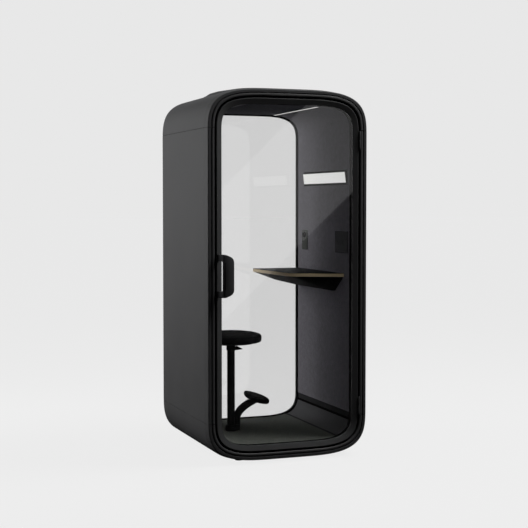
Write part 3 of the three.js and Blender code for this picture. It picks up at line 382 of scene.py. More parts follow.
def sharpEdges(edges, degrees=60):
    return [edge for edge in edges if len(edge.link_faces) == 2 and edge.calc_face_angle() > radians(degrees)]


def soften(bm, edges, size, segments=3, clamp=False):
    bmesh.ops.bevel(bm, geom=edges, offset=size, offset_type="OFFSET", affect="EDGES", segments=segments,
                    profile=0.5, material=-1, clamp_overlap=clamp)


def fillHoles(bm):
    bmesh.ops.holes_fill(bm, edges=[edge for edge in bm.edges if edge.is_boundary])


def turnOut(bm):
    bmesh.ops.recalc_face_normals(bm, faces=bm.faces)


def pushFaces(bm, move):
    made = bmesh.ops.extrude_face_region(bm, geom=bm.faces[:])["geom"]
    bmesh.ops.translate(bm, verts=vertsOf(made), vec=move)
    turnOut(bm)


def placed(bm, shift=(0, 0, 0)):  # from millimetres to the scene's frame
    for vert in bm.verts:
        vert.co = spot(*(vert.co + Vector(shift)))
    return bm


def sweepRows(rows, count, spotOf, ring=False):  # a line of edges, extruded from row to row
    bm = bmesh.new()
    number = bm.verts.layers.int.new("place")
    line = [bm.verts.new() for _ in range(count)]
    for i, vert in enumerate(line):
        vert[number] = i
        vert.co = spotOf(i, rows[0])
    edges = [bm.edges.new(pair) for pair in zip(line, line[1:] + line[:1] if ring else line[1:])]
    for row in rows[1:] + rows[:1]:
        made = bmesh.ops.extrude_edge_only(bm, edges=edges)["geom"]
        for vert in vertsOf(made):
            vert.co = spotOf(vert[number], row)
        edges = farEdges(made)
    bmesh.ops.remove_doubles(bm, verts=bm.verts, dist=1e-6)
    if not ring:
        fillHoles(bm)
    turnOut(bm)
    return bm


def sweepSection(section, places, ring=False):  # a section of (inset, depth), swept along the outline
    def spotOf(i, corner):
        x, z = places[i](corner[0])
        return spot(x, corner[1], z)
    return sweepRows(section, len(places), spotOf, ring)


def spun(points, middle, axis, steps):  # a line of points, turned once round
    bm = bmesh.new()
    verts = [bm.verts.new(point) for point in points]
    edges = [bm.edges.new(pair) for pair in zip(verts, verts[1:])]
    bmesh.ops.spin(bm, geom=verts + edges, cent=middle, axis=axis, angle=2 * pi, steps=steps, use_merge=True)
    bmesh.ops.remove_doubles(bm, verts=bm.verts, dist=1e-3)
    turnOut(bm)
    return bm


def boxBetween(bm, low, high, edge):
    made = bmesh.ops.create_cube(bm, size=1)["verts"]
    for vert in made:
        vert.co = Vector([low[i] if vert.co[i] < 0 else high[i] for i in range(3)])
    soften(bm, edgesAt(made), edge, segments=2)


def curveThrough(start, control, end, steps):
    return [(1 - t) ** 2 * Vector(start) + 2 * t * (1 - t) * Vector(control) + t * t * Vector(end)
            for t in [i / steps for i in range(steps + 1)]]


def addPiece(name, bm, look, node, body="pod", sharp=34):  # thin trim stands for no node
    mesh = bpy.data.meshes.new(name)
    bm.to_mesh(mesh)
    bm.free()
    mesh.polygons.foreach_set("use_smooth", [True] * len(mesh.polygons))
    mesh.set_sharp_from_angle(angle=radians(sharp))
    mesh.materials.append(materials[look])
    piece = bpy.data.objects.new(name, mesh)
    scene.collection.objects.link(piece)
    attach(piece, body)
    if node:
        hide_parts(node)
    return piece


def ringPiece(name, corners, steps, look, node, body="pod"):
    addPiece(name, sweepSection(roundCorners(corners, steps), wholeRing(), True), look, node, body)


# shell: roof and base arches and two side panels, meeting at fine seams

shell = {  # rows of inset, depth and radius; the side leans in slowly, then turns sharply to the front
    "section": [(0, 58, 200), (7, 0, 6), (26, 0, 1.5), (26, 10, 0.8), (30, 10, 0), (30, 22, 0), (14, 22, 0),
                (14, 941, 0), (34, 941, 0), (34, 955, 1), (0, 955, 8)],
    "steps": 10, "seamFromEnd": 240, "seamGap": 2.2}
seamTop, seamFoot = pod["height"] - shell["seamFromEnd"], shell["seamFromEnd"]


def fourPieces(nodes, section, inset, seamGap, look):  # top, bottom, left and right of a split ring
    gap = seamGap / 2
    ends = seamFoot + gap, seamTop - gap
    runs = [archPlaces(seamTop + gap, 1, inset), archPlaces(seamFoot - gap, -1, inset),
            sidePlaces(-1, *ends, inset), sidePlaces(1, *ends, inset)]
    for node, places in zip(nodes, runs):
        addPiece(node + "Skin", sweepSection(section, places), look, node)


fourPieces(["roof_shell", "base_shell", "left_side_panel", "right_side_panel"],
           roundCorners(shell["section"], shell["steps"]), 0, shell["seamGap"], "shellLacquer")

# a dark strip behind each seam, so that no light comes through the gap; rows of inset and depth
backing = {"section": [(2.5, 58), (9.5, 2.5), (25, 2.5), (25, 11), (29, 11), (29, 21), (13, 21), (13, 951),
                       (2.5, 951)], "reach": 6}
for name, side, height in (("topLeft", -1, seamTop), ("topRight", 1, seamTop), ("footLeft", -1, seamFoot),
                           ("footRight", 1, seamFoot)):
    seamPlaces = sidePlaces(side, height - backing["reach"], height + backing["reach"], 0)
    backingBm = sweepSection(backing["section"], seamPlaces)
    addPiece(name + "SeamBacking", backingBm, "blackRubber", None)

# bead inside the rim: a rounded extrusion on the same seams
bead = {"outer": 30.5, "inner": 48, "setback": 0.5, "crown": 3.5, "shoulder": 7, "back": 45.7, "seamGap": 4.5,
        "steps": 12}
beadMiddle, beadHalf = (bead["outer"] + bead["inner"]) / 2, (bead["inner"] - bead["outer"]) / 2
beadTurns = [pi * i / bead["steps"] for i in range(bead["steps"] + 1)]
beadSection = [(beadMiddle - beadHalf * cos(turn), bead["setback"] + bead["crown"] * (1 - sin(turn)))
               for turn in beadTurns]
beadSection += [(bead["inner"], bead["shoulder"]), (bead["inner"], bead["back"]),
                (bead["outer"], bead["back"]), (bead["outer"], bead["shoulder"])]
fourPieces(["front_trim_top", "front_trim_bottom", "front_trim_left", "front_trim_right"], beadSection,
           bead["outer"], bead["seamGap"], "trimLacquer")

# hood over the fan intake: follows the roof, sloping off at all its edges; rows of depth and height
hood = {"rows": [(66, 0), (66, 3), (326, 14), (490, 14), (590, 3), (590, 0)], "halfWidth": 345,
        "halfFlat": 337, "wall": 3, "lift": 0.3, "sharp": 25}
hoodPlaces = [atAcross(hood["halfWidth"], 1),
              *placesBetween(atAcross(hood["halfFlat"], 1), atAcross(-hood["halfFlat"], 1), 0),
              atAcross(-hood["halfWidth"], 1)]


def hoodSpot(i, row):
    x, z = hoodPlaces[i](-hood["lift"])
    atEdge = i in (0, len(hoodPlaces) - 1)
    return spot(x, row[0], z + (min(row[1], hood["wall"]) if atEdge else row[1]))


addPiece("roofHoodCover", sweepRows(hood["rows"], len(hoodPlaces), hoodSpot), "shellLacquer", "roof_hood",
         sharp=hood["sharp"])
print("shell made")


# door: frame, jamb, seal and reveal round the opening, in rows of inset, depth and radius

door = {"frame": [(60, 2, 3.5), (94.5, 11.5, 1.2), (94.5, 13.7, 0), (83.7, 13.7, 0), (83.7, 22.3, 0),
                  (90, 22.3, 0), (90, 42, 1.5), (60, 42, 1.5)],
        "jamb": [(14.3, 46, 0), (88, 46, 1), (88, 60, 1), (14.3, 60, 0)],
        "seal": [(70, 42.3, 1.2), (88, 42.3, 1.2), (88, 45.7, 1.2), (70, 45.7, 1.2)],
        "reveal": [(88, 60, 0), (93.2, 60, 1.2), (93.2, 66, 1.2), (90.2, 66, 0)], "frameSteps": 6, "steps": 3}
ringPiece("doorFrameRing", door["frame"], door["frameSteps"], "doorLacquer", "door_frame",
          "door")
ringPiece("doorJambRing", door["jamb"], door["steps"], "blackAluminium", "door_jamb")
ringPiece("doorSealRing", door["seal"], door["steps"], "blackRubber", "door_seal")
ringPiece("doorRevealTrim", door["reveal"], door["steps"], "blackAluminium", None)

# bow handle: a flat bar cut as a C, bent out from two feet on the stile
bow = {  # lower half of the outline in x and z: single points, and curves of start, control, end and steps
    "outline": [[(-365, 0)], [(-365, -78), (-365, -106), (-393, -116.5), 7],
                [(-410.5, -124), (-420.5, -127), (-426.5, -127), 4],
                [(-444, -127), (-452, -127), (-452, -117), 5], [(-452, -89)],
                [(-428.5, -89), (-420.5, -89), (-420.5, -81), 5], [(-420.5, 0)]],
    "middle": 1113, "sheetY": 8.7, "bendOut": -45.7, "bendFrom": -443, "bendTo": -416.5, "bends": 8,
    "thickness": 16, "edge": 5, "sharpRim": 55, "shortest": 0.01, "gripFrom": -411.5, "sharp": 40}


def handleBow():
    lower = [point for row in bow["outline"] for point in (curveThrough(*row) if len(row) > 1 else row)]
    bendFrom, bendLength = bow["bendFrom"], bow["bendTo"] - bow["bendFrom"]
    bm = bmesh.new()
    bm.faces.new([bm.verts.new((x, 0, z)) for x, z in lower])
    bmesh.ops.mirror(bm, geom=allOf(bm), axis="Z", merge_dist=-1)
    bmesh.ops.remove_doubles(bm, verts=bm.verts, dist=0.01)
    for i in range(bow["bends"] + 1):
        cut = (bendFrom + bendLength * i / bow["bends"], 0, 0)
        bmesh.ops.bisect_plane(bm, geom=allOf(bm), dist=1e-4, plane_co=cut, plane_no=(1, 0, 0))
    for vert in bm.verts:
        share = within((vert.co.x - bendFrom) / bendLength)
        vert.co.y = bow["sheetY"] + bow["bendOut"] * share * share * (3 - 2 * share)
    turnOut(bm)
    bmesh.ops.solidify(bm, geom=bm.faces[:], thickness=bow["thickness"])
    turnOut(bm)
    rims = [edge for edge in sharpEdges(bm.edges, bow["sharpRim"]) if edge.calc_length() > bow["shortest"]]
    soften(bm, rims, bow["edge"], clamp=True)
    depths = [vert.co.y for vert in bm.verts if vert.co.x > bow["gripFrom"]]
    return placed(bm, (0, 0, bow["middle"])), min(depths), max(depths)


bowBm, gripFront, gripBack = handleBow()
addPiece("doorHandleBow", bowBm, "handlePowder", "door_handle", "door", bow["sharp"])

# black strip on the inner face of the grip: painted shade, where that face lies in shadow
strip = {"left": -421.9, "right": -417, "proud": 0.6, "short": 1, "halfHeight": 81, "edge": 0.6}
stripBm = bmesh.new()
boxBetween(stripBm, (strip["left"], gripFront - strip["proud"], bow["middle"] - strip["halfHeight"]),
           (strip["right"], gripBack - strip["short"], bow["middle"] + strip["halfHeight"]), strip["edge"])
addPiece("handleShadeStrip", placed(stripBm), "blackRubber", None, "door")

# lift-off hinges: two turned knuckles on one axis, each on a thin leaf
hinge = {"x": 461, "height": 108, "endGap": 244, "radius": 5.5, "segments": 40, "fixedX": 464.5,
         "doorX": 455.3, "leaf": 2.2, "fixedDepth": 45.7, "doorDepth": 30, "split": 0.6, "edge": 0.7,
         "leafEdge": 0.4}


def hingeHalf(foot, top, leafX, leafDepth):
    bm = bmesh.new()
    middle = Matrix.Translation((hinge["x"], 0, (foot + top) / 2))
    knuckle = bmesh.ops.create_cone(bm, cap_ends=True, segments=hinge["segments"], radius1=hinge["radius"],
                                    radius2=hinge["radius"], depth=top - foot, matrix=middle)["verts"]
    soften(bm, sharpEdges(edgesAt(knuckle)), hinge["edge"])
    boxBetween(bm, (leafX, 0, foot), (leafX + hinge["leaf"], leafDepth, top), hinge["leafEdge"])
    return placed(bm)


for name, foot in (("lower", hinge["endGap"]), ("upper", pod["height"] - hinge["endGap"] - hinge["height"])):
    split, top = foot + hinge["height"] / 2, foot + hinge["height"]
    fixedBm = hingeHalf(foot, split, hinge["fixedX"], hinge["fixedDepth"])
    doorBm = hingeHalf(split + hinge["split"], top, hinge["doorX"], hinge["doorDepth"])
    addPiece(name + "HingeFixedHalf", fixedBm, "trimLacquer", name + "_hinge_fixed_half")
    addPiece(name + "HingeDoorHalf", doorBm, "trimLacquer", name + "_hinge_door_half", "door")
print("door made")


# rear wall: frame, gasket with its lip over the glass, in rows of inset, depth and radius

rear = {"frame": [(14.3, 904.7, 0), (77.7, 904.7, 0), (77.7, 914.3, 0), (98, 914.3, 1), (98, 940.7, 1),
                  (14.3, 940.7, 0)],
        "gasket": [(34.3, 941, 0), (43.3, 941, 0), (43.3, 953.4, 0), (55.6, 953.4, 0.5), (55.6, 955, 0.8),
                   (34.3, 955, 0.8)], "frameSteps": 4, "gasketSteps": 3}
ringPiece("rearFrameRing", rear["frame"], rear["frameSteps"], "blackAluminium", "rear_frame")
ringPiece("rearGasketRing", rear["gasket"], rear["gasketSteps"], "blackRubber", "rear_glass_gasket")


# linings: each a slab that follows the outline, with its inner edges rounded

lining = {"outer": 78, "front": 60.3, "rear": 914, "steps": 4}


def liner(name, size, run, look, node):
    slab = {**lining, **size}
    corners = [(slab["outer"], slab["front"], 0), (slab["inner"], slab["front"], slab["edge"]),
               (slab["inner"], slab["rear"], slab["edge"]), (slab["outer"], slab["rear"], 0)]
    addPiece(name, sweepSection(roundCorners(corners, slab["steps"]), run), look, node)


sides = (("left", -1), ("right", 1))
felt = {"inner": 90, "edge": 2.5, "foot": 250, "leftEnd": 226.3, "rightEnd": 250.3}
feltEnds = squareTo(felt["inner"], felt["rightEnd"], 1), squareTo(felt["inner"], -felt["leftEnd"], 1)
rightRun = placesBetween(atHeight(felt["foot"], 1), feltEnds[0], lining["outer"])
leftRun = placesBetween(feltEnds[1], atHeight(felt["foot"], -1), lining["outer"])
liner("rightWallLining", felt, rightRun, "wallFelt", "right_wall_felt")
liner("leftWallLining", felt, leftRun, "wallFelt", "left_wall_felt")
ceiling = {"inner": 90, "edge": 2, "front": 66.3, "half": 225.7}
ceilingEnds = [squareTo(ceiling["inner"], side * ceiling["half"], 1) for side in (1, -1)]
liner("ceilingLining", ceiling, placesBetween(*ceilingEnds, lining["outer"]), "ceilingFelt", "ceiling_panel")
skirting = {"inner": 87, "edge": 1.5, "foot": 213.7, "top": 249.7}
for hand, side in sides:
    skirtingRun = sidePlaces(side, skirting["foot"], skirting["top"], lining["outer"])
    node = hand + "_skirting"
    liner(node + "Strip", skirting, skirtingRun, "skirtingPlastic", node)
shadow = {"inner": 88.6, "edge": 0.5, "foot": 201}
for hand, side in sides:  # black strip in the joint of skirting and tray: painted shade of the gap there
    shadowRun = sidePlaces(side, shadow["foot"], skirting["foot"], lining["outer"])
    liner(hand + "ShadowStrip", shadow, shadowRun, "blackFoam", None)
tray = {"inner": 88, "edge": 2, "top": 205}
trayRun = archPlaces(tray["top"], -1, lining["outer"])
liner("baseTrayPan", tray, trayRun, "trayLacquer", "base_tray")
carpet = {"outer": 88.3, "inner": 92.5, "edge": 1.5, "half": 330}
carpetEnds = [squareTo(carpet["inner"], side * carpet["half"], -1) for _, side in sides]
carpetRun = placesBetween(*carpetEnds, carpet["inner"])
liner("floorCarpetMat", carpet, carpetRun, "floorCarpet", "floor_carpet")
edgeShade = {"outer": 88.3, "inner": 91, "edge": 0.8, "half": 344}
for hand, side in sides:  # dark strip along the carpet's edge: painted shade of that edge on the tray
    edgeShadeRun = [squareTo(carpet["inner"], side * reach, -1) for reach in (carpet["half"], edgeShade["half"])]
    liner(hand + "CarpetEdgeShade", edgeShade, edgeShadeRun[::side], "skirtingPlastic", None)
print("linings made")


# light line under the ceiling: a dark trim and an opal lens

wallX = 424.7  # face of the felt on the right, for all that is fixed to it
lineLens = {"node": "light_line_lens", "lip": 1, "border": 8, "trim": 1.2, "lens": 1.4, "edge": 0.3}


def plateUnder(name, low, high, look, node):
    bm = bmesh.new()
    boxBetween(bm, low, high, lineLens["edge"])
    bmesh.ops.scale(bm, verts=bm.verts, vec=(0.001, 0.001, 0.001))
    addPiece(name, bm, look, node)


low, high = (corner * 1000 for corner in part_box(lineLens["node"]))
flatLow, flatHigh, trimTop = Vector((low.x, low.y, 0)), Vector((high.x, high.y, 0)), Vector((0, 0, low.z))
lip, border = Vector((lineLens["lip"], 0, 0)), Vector((lineLens["border"], lineLens["border"], 0))
trimFoot = trimTop - Vector((0, 0, lineLens["trim"]))
lensFoot = trimFoot - Vector((0, 0, lineLens["lens"]))
plateUnder("lightLineTrim", flatLow - border + trimFoot, flatHigh + border + trimTop, "blackAluminium", None)
plateUnder("lightLineDiffuser", flatLow + lip + lensFoot, flatHigh - lip + trimFoot, "litOpal",
           lineLens["node"])

# wall light: a housing deeper at its top, in a flat surround, with a lens on its slope; rows of x and z
wallLight = {"housing": [(wallX, 1663), (wallX, 1737), (411.7, 1737), (421.2, 1663)],
             "surround": [(wallX, 1654), (wallX, 1746), (423.2, 1746), (423.2, 1654)],
             "from": 112, "to": 792, "wider": 9, "margin": 4.5, "lens": 3, "gap": 0.3, "edge": 0.9,
             "surroundEdge": 0.4}


def barAlong(profile, wider, edge):  # a profile run from front to rear
    bm = bmesh.new()
    bm.faces.new([bm.verts.new((x, wallLight["from"] - wider, z)) for x, z in profile])
    pushFaces(bm, (0, wallLight["to"] - wallLight["from"] + 2 * wider, 0))
    soften(bm, bm.edges[:], edge, segments=2)
    return placed(bm)


addPiece("wallLightBody", barAlong(wallLight["housing"], 0, wallLight["edge"]), "blackAluminium",
         "wall_light_housing")
addPiece("wallLightSurround", barAlong(wallLight["surround"], wallLight["wider"], wallLight["surroundEdge"]),
         "blackAluminium", None)
lightTop, lightFoot = (Vector(corner) for corner in wallLight["housing"][2:])
rise = (lightTop - lightFoot).normalized()
out = Vector((-rise.y, rise.x))
lensFoot = lightFoot + rise * wallLight["margin"] + out * wallLight["gap"]
lensTop = lightTop - rise * wallLight["margin"] + out * wallLight["gap"]
lensProfile = [lensFoot, lensTop, lensTop + out * wallLight["lens"], lensFoot + out * wallLight["lens"]]
addPiece("wallLightDiffuser", barAlong(lensProfile, -wallLight["margin"], wallLight["edge"]), "litOpal",
         "wall_light_lens")
print("lights made")


# corner desk: laminate on birch ply on a tapering body

desk = {"rear": 900.4, "top": 1104, "reachRear": 330, "reachFront": 308, "straightFrom": 420, "cornerY": 272,
        "cornerReach": 225, "frontAtWall": 150, "steps": 16, "laminate": 2, "laminateEdge": 0.7, "ply": 20,
        "plyEdge": 1.5, "gap": 0.3}
deskBody = {"inset": 4, "steps": 10, "height": 93, "foot": 22, "front": 278, "bulge": 9, "flat": 1,
            "sharpRim": 40, "edge": 5}


def deskOutline(inset, steps):
    free, rearY, cornerY = wallX - desk["reachFront"] + inset, desk["rear"] - inset, desk["cornerY"] + inset
    corner = curveThrough((free, desk["straightFrom"]), (free, cornerY),
                          (wallX - desk["cornerReach"] + inset, cornerY), steps)
    return [(wallX, rearY), (wallX - desk["reachRear"] + inset, rearY), *corner,
            (wallX, desk["frontAtWall"] + inset)]


def slabFrom(outline, foot, top, edge):
    bm = bmesh.new()
    bm.faces.new([bm.verts.new((x, y, foot)) for x, y in outline])
    pushFaces(bm, (0, 0, top - foot))
    soften(bm, sharpEdges(bm.edges), edge)
    return placed(bm)


deskLine = deskOutline(0, desk["steps"])
plyTop = desk["top"] - desk["laminate"] - desk["gap"]
bodyTop = plyTop - desk["ply"] - desk["gap"]
laminateBm = slabFrom(deskLine, desk["top"] - desk["laminate"], desk["top"], desk["laminateEdge"])
plyBm = slabFrom(deskLine, plyTop - desk["ply"], plyTop, desk["plyEdge"])
addPiece("deskTopLaminate", laminateBm, "deskLaminate", "desk_laminate")
addPiece("deskTopPly", plyBm, "plyEdge", "desk_ply")


def deskBodyShell():  # the hull of the outline above, a narrow foot on the wall and a bulge between
    bm = bmesh.new()
    rearY = desk["rear"] - deskBody["inset"]
    for x, y in deskOutline(deskBody["inset"], deskBody["steps"]):
        bm.verts.new((x, y, bodyTop))
    for y in (deskBody["front"], rearY):
        for x in (wallX, wallX - deskBody["foot"]):
            bm.verts.new((x, y, bodyTop - deskBody["height"]))
    bulgeZ = bodyTop - deskBody["height"] / 2 - deskBody["bulge"]
    for y, reach in ((deskBody["front"], desk["cornerReach"]), (rearY, desk["reachRear"])):
        bm.verts.new((wallX - (reach + deskBody["foot"]) / 2, y, bulgeZ))
    bmesh.ops.convex_hull(bm, input=bm.verts[:])
    bmesh.ops.dissolve_limit(bm, angle_limit=radians(deskBody["flat"]), verts=bm.verts[:], edges=bm.edges[:])
    soften(bm, sharpEdges(bm.edges, deskBody["sharpRim"]), deskBody["edge"])
    return placed(bm)


addPiece("deskBodyShell", deskBodyShell(), "deskPaint", "desk_body")
print("desk made")


# control plate, knob, button and socket module on the right wall

control = {"y": (741, 834), "z": (1231, 1363), "thick": 4, "corner": 10, "edge": 1.2}
knob = {  # rows of radius and distance off the wall
    "profile": [(0, 4.3), (15.4, 4.3), (16, 5.1), (15.6, 14.7), (14.8, 15.9), (13.6, 16.3), (12, 16.3),
                (11, 15.6), (0, 15.4)],
    "y": 782, "z": 1330, "steps": 56}
button = {  # rows as for the knob
    "profile": [(0, 1.6), (5, 1.6), (5, 4.8), (4.3, 5.5), (2.8, 5.6), (0, 5.3)],
    "y": 812, "z": 1286, "steps": 40, "hole": 5.5}
socket = {"y": (88, 280), "z": (1230, 1365), "thick": 5, "corner": 8, "innerCorner": 4, "bezel": 9,
          "setback": 1, "gap": 0.3, "hole": 20, "depth": 3, "pitch": 74, "edge": 1.0}


def roundLoop(bm, y, z, radius, out, count=48):
    place = Matrix.Translation((wallX - out, y, z)) @ Matrix.Rotation(pi / 2, 4, "Y")
    return edgesAt(bmesh.ops.create_circle(bm, segments=count, radius=radius, matrix=place)["verts"])


def rectangleLoop(bm, ySpan, zSpan, corner, out):
    corners = [(ySpan[i], zSpan[j], corner) for i, j in ((0, 0), (1, 0), (1, 1), (0, 1))]
    verts = [bm.verts.new((wallX - out, y, z)) for y, z in roundCorners(corners)]
    return [bm.edges.new(pair) for pair in zip(verts, verts[1:] + verts[:1])]


def shrunk(span, by):
    return span[0] + by, span[1] - by


def plateOnWall(plate, draw, *values):  # a plate with rounded corners and one opening
    bm = bmesh.new()
    outside = rectangleLoop(bm, plate["y"], plate["z"], plate["corner"], plate["thick"])
    bmesh.ops.triangle_fill(bm, edges=outside + draw(bm, *values, plate["thick"]), use_beauty=True)
    pushFaces(bm, (plate["thick"], 0, 0))
    onFace = wallX - plate["thick"] + 1e-4
    soften(bm, [e for e in sharpEdges(bm.edges) if all(v.co.x < onFace for v in e.verts)], plate["edge"])
    return placed(bm)


plateBm = plateOnWall(control, roundLoop, button["y"], button["z"], button["hole"])
addPiece("controlPlateFace", plateBm, "plateGrey", "control_plate")
innerY, innerZ = shrunk(socket["y"], socket["bezel"]), shrunk(socket["z"], socket["bezel"])
bezelBm = plateOnWall(socket, rectangleLoop, innerY, innerZ, socket["innerCorner"])
addPiece("socketBezelFace", bezelBm, "socketPlastic", "socket_bezel")


def socketInsert():  # a face with two wells; each wall runs down from its loop to a floor across it
    bm = bmesh.new()
    face = socket["thick"] - socket["setback"]
    outline = [shrunk(span, socket["gap"]) for span in (innerY, innerZ)]
    rim = rectangleLoop(bm, *outline, socket["innerCorner"], face)
    middleY, middleZ = sum(socket["y"]) / 2, sum(socket["z"]) / 2
    left, right = (roundLoop(bm, middleY + side * socket["pitch"] / 2, middleZ, socket["hole"], face)
                   for side in (-1, 1))
    bmesh.ops.triangle_fill(bm, edges=rim + left + right, use_beauty=True)
    for loop, depth in ((left, socket["depth"]), (right, socket["depth"]), (rim, face)):
        made = bmesh.ops.extrude_edge_only(bm, edges=loop)["geom"]
        bmesh.ops.translate(bm, verts=vertsOf(made), vec=(depth, 0, 0))
        bmesh.ops.edgeloop_fill(bm, edges=farEdges(made))
    turnOut(bm)
    return placed(bm)


def turnedOnWall(part):
    points = [(wallX - out, part["y"], part["z"] + radius) for radius, out in part["profile"]]
    return placed(spun(points, (wallX, part["y"], part["z"]), (1, 0, 0), part["steps"]))


addPiece("socketInsertFace", socketInsert(), "socketPlastic", "socket_insert")
addPiece("dimmerKnobTurned", turnedOnWall(knob), "blackPlastic", "dimmer_knob", "knob")
addPiece("fanButtonCap", turnedOnWall(button), "blackPlastic", "fan_button", "button")
print("controls made")


# stool: floor block, column, post, hub, pan, lever, footrest and cushion

stool = {"x": -192, "y": 520, "steps": 72}
block = {"round": 36, "roundSteps": 36, "armRound": 18, "armSteps": 16, "armOffset": 43, "edge": 3.5}
column = {  # turned parts have rows of radius and height, from their foot or their top
    "foot": [(16, 0), (23.6, 0), (24.6, 1), (24.6, 8)],
    "top": [(24.6, -8), (24.6, -3), (23.7, -0.9), (21.6, 0), (16, 0)]}
post = {"foot": [(0, 0), (14.6, 0), (15.6, 1), (15.6, 6)], "top": [(15.6, -6), (15.6, -1), (14.6, 0), (0, 0)],
        "belowColumnTop": 380, "aboveHubFoot": 21.5}
hub = {"profile": [(0, 21.8), (15.9, 21.8), (15.9, 0), (27, 0), (28.4, 0.6), (29, 2), (29, 6), (29, 37),
                   (29, 43), (0, 43)]}
pan = {"profile": [(0, 0), (29, 0), (33, 0.4), (146, 2.9), (149, 3.8), (150, 5), (150, 6.4), (149.4, 7),
                   (0, 7)], "aboveHubFoot": 43.3}


def heights(node):
    return [corner.z * 1000 - pod["foot"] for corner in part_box(node)]


def turnedUpright(profile, x=stool["x"], y=stool["y"], steps=stool["steps"]):
    return placed(spun([(x + radius, y, z) for radius, z in profile], (x, y, 0), (0, 0, 1), steps))


def raised(rows, base):
    return [(radius, base + z) for radius, z in rows]


def arc(x, radius, start, end, steps):
    turns = [start + (end - start) * i / steps for i in range(steps + 1)]
    return [(x + radius * cos(turn), stool["y"] + radius * sin(turn)) for turn in turns]


blockFoot, blockTop = heights("stool_floor_block")
columnFoot, columnTop = heights("stool_column")
hubFoot = heights("swivel_hub")[0]
armX = stool["x"] + block["armOffset"]
lean = acos((block["round"] - block["armRound"]) / block["armOffset"])
blockLine = arc(stool["x"], block["round"], lean, 2 * pi - lean, block["roundSteps"])
blockLine += arc(armX, block["armRound"], -lean, lean, block["armSteps"])
blockBm = slabFrom(blockLine, blockFoot, blockTop, block["edge"])
addPiece("stoolFloorBlock", blockBm, "blackPowder", "stool_floor_block")
tube = raised(column["foot"], columnFoot) + raised(column["top"], columnTop)
addPiece("stoolColumnTube", turnedUpright(tube + tube[:1]), "blackPowder", "stool_column")
rod = raised(post["foot"], columnTop - post["belowColumnTop"])
rod += raised(post["top"], hubFoot + post["aboveHubFoot"])
addPiece("gasPostRod", turnedUpright(rod), "bareSteel", "gas_post", "lift")
hubProfile = raised(hub["profile"], hubFoot)
addPiece("swivelHubTurned", turnedUpright(hubProfile), "blackPowder", "swivel_hub", "seat")
panProfile = raised(pan["profile"], hubFoot + pan["aboveHubFoot"])
addPiece("seatPanShell", turnedUpright(panProfile), "blackPlastic", "seat_pan", "seat")

# height lever beside the hub
lever = {"fromPost": 35.3, "length": 38, "radius": 6, "rise": 14, "droop": 0.2, "rootTall": 2.5,
         "tipTall": 0.5, "roundSteps": 6, "steps": 32}


def heightLever():
    radius, length = lever["radius"], lever["length"]
    turns = [pi / 2 * i / lever["roundSteps"] for i in range(lever["roundSteps"] + 1)]
    points = [(-radius * cos(turn), 0, radius * sin(turn)) for turn in turns]
    points += [(length + radius * sin(turn), 0, radius * cos(turn)) for turn in turns]
    bm = spun(points, (0, 0, 0), (1, 0, 0), lever["steps"])
    for vert in bm.verts:  # a wedge, tall at the hub and pressed flat for the fingers at its tip
        share = within(vert.co.x / length)
        vert.co.z *= lever["rootTall"] + share * (lever["tipTall"] - lever["rootTall"])
    bmesh.ops.rotate(bm, verts=bm.verts, cent=(0, 0, 0), matrix=Matrix.Rotation(lever["droop"], 3, "Y"))
    return placed(bm, (stool["x"] + lever["fromPost"], stool["y"], hubFoot + lever["rise"]))


addPiece("heightLeverRod", heightLever(), "blackPlastic", "height_lever", "lever")

# footrest: a bent bar with a moulded pad on it
pad = {"halfLength": 205, "halfWidth": 44, "thick": 26, "belly": 18, "reach": 171, "foot": 287, "edge": 10,
       "steps": 96, "edgeSteps": 6, "rings": 3, "ringWidth": 7.92, "flat": 0.99}
arm = {"radius": 18.5, "segments": 40, "fuller": 0.75, "fullPower": 0.5, "straight": 17, "upright": 34,
       "plainRings": 1, "elbow": 98, "reach": 140, "gap": 0.3, "steps": 22}


def footrestArm():  # a round bar carried ring by ring along its bend
    foot, top = blockTop + arm["gap"], pad["foot"] - arm["gap"]
    rows = [(armX, foot), (armX, foot + arm["straight"])]
    rows += curveThrough((armX, foot + arm["upright"]), (armX, foot + arm["elbow"]),
                         (armX + arm["reach"], top), arm["steps"])
    path = [Vector((x, stool["y"], z)) for x, z in rows]
    bm = bmesh.new()
    ring = bmesh.ops.create_circle(bm, cap_ends=True, segments=arm["segments"], radius=arm["radius"],
                                   matrix=Matrix.Translation(path[0]))["verts"]
    edges, lean, rings = edgesAt(ring), 0.0, []
    for count, (here, after) in enumerate(zip(path, path[1:])):
        made = bmesh.ops.extrude_edge_only(bm, edges=edges)["geom"]
        fresh = vertsOf(made)
        bmesh.ops.translate(bm, verts=fresh, vec=after - here)
        turn = atan2(after.x - here.x, after.z - here.z)
        bmesh.ops.rotate(bm, verts=fresh, cent=after, matrix=Matrix.Rotation(turn - lean, 3, "Y"))
        lean = turn
        if count >= arm["plainRings"]:
            rings.append((fresh, after, Vector((-cos(lean), 0, sin(lean)))))  # the last points to the column
        edges = farEdges(made)
    bmesh.ops.edgeloop_fill(bm, edges=edges)
    for count, (ring, middle, inward) in enumerate(rings):  # fuller on the column's side of the bend
        full = arm["fuller"] * sin(pi * (count + 1) / (len(rings) + 1)) ** arm["fullPower"]
        for vert in ring:
            vert.co += inward * max((vert.co - middle).dot(inward), 0) * full
    turnOut(bm)
    bmesh.ops.bisect_plane(bm, geom=allOf(bm), plane_co=(0, 0, top), plane_no=(0, 0, 1), clear_outer=True)
    fillHoles(bm)
    turnOut(bm)
    return placed(bm)


addPiece("footrestArmBar", footrestArm(), "blackPowder", "footrest_arm")


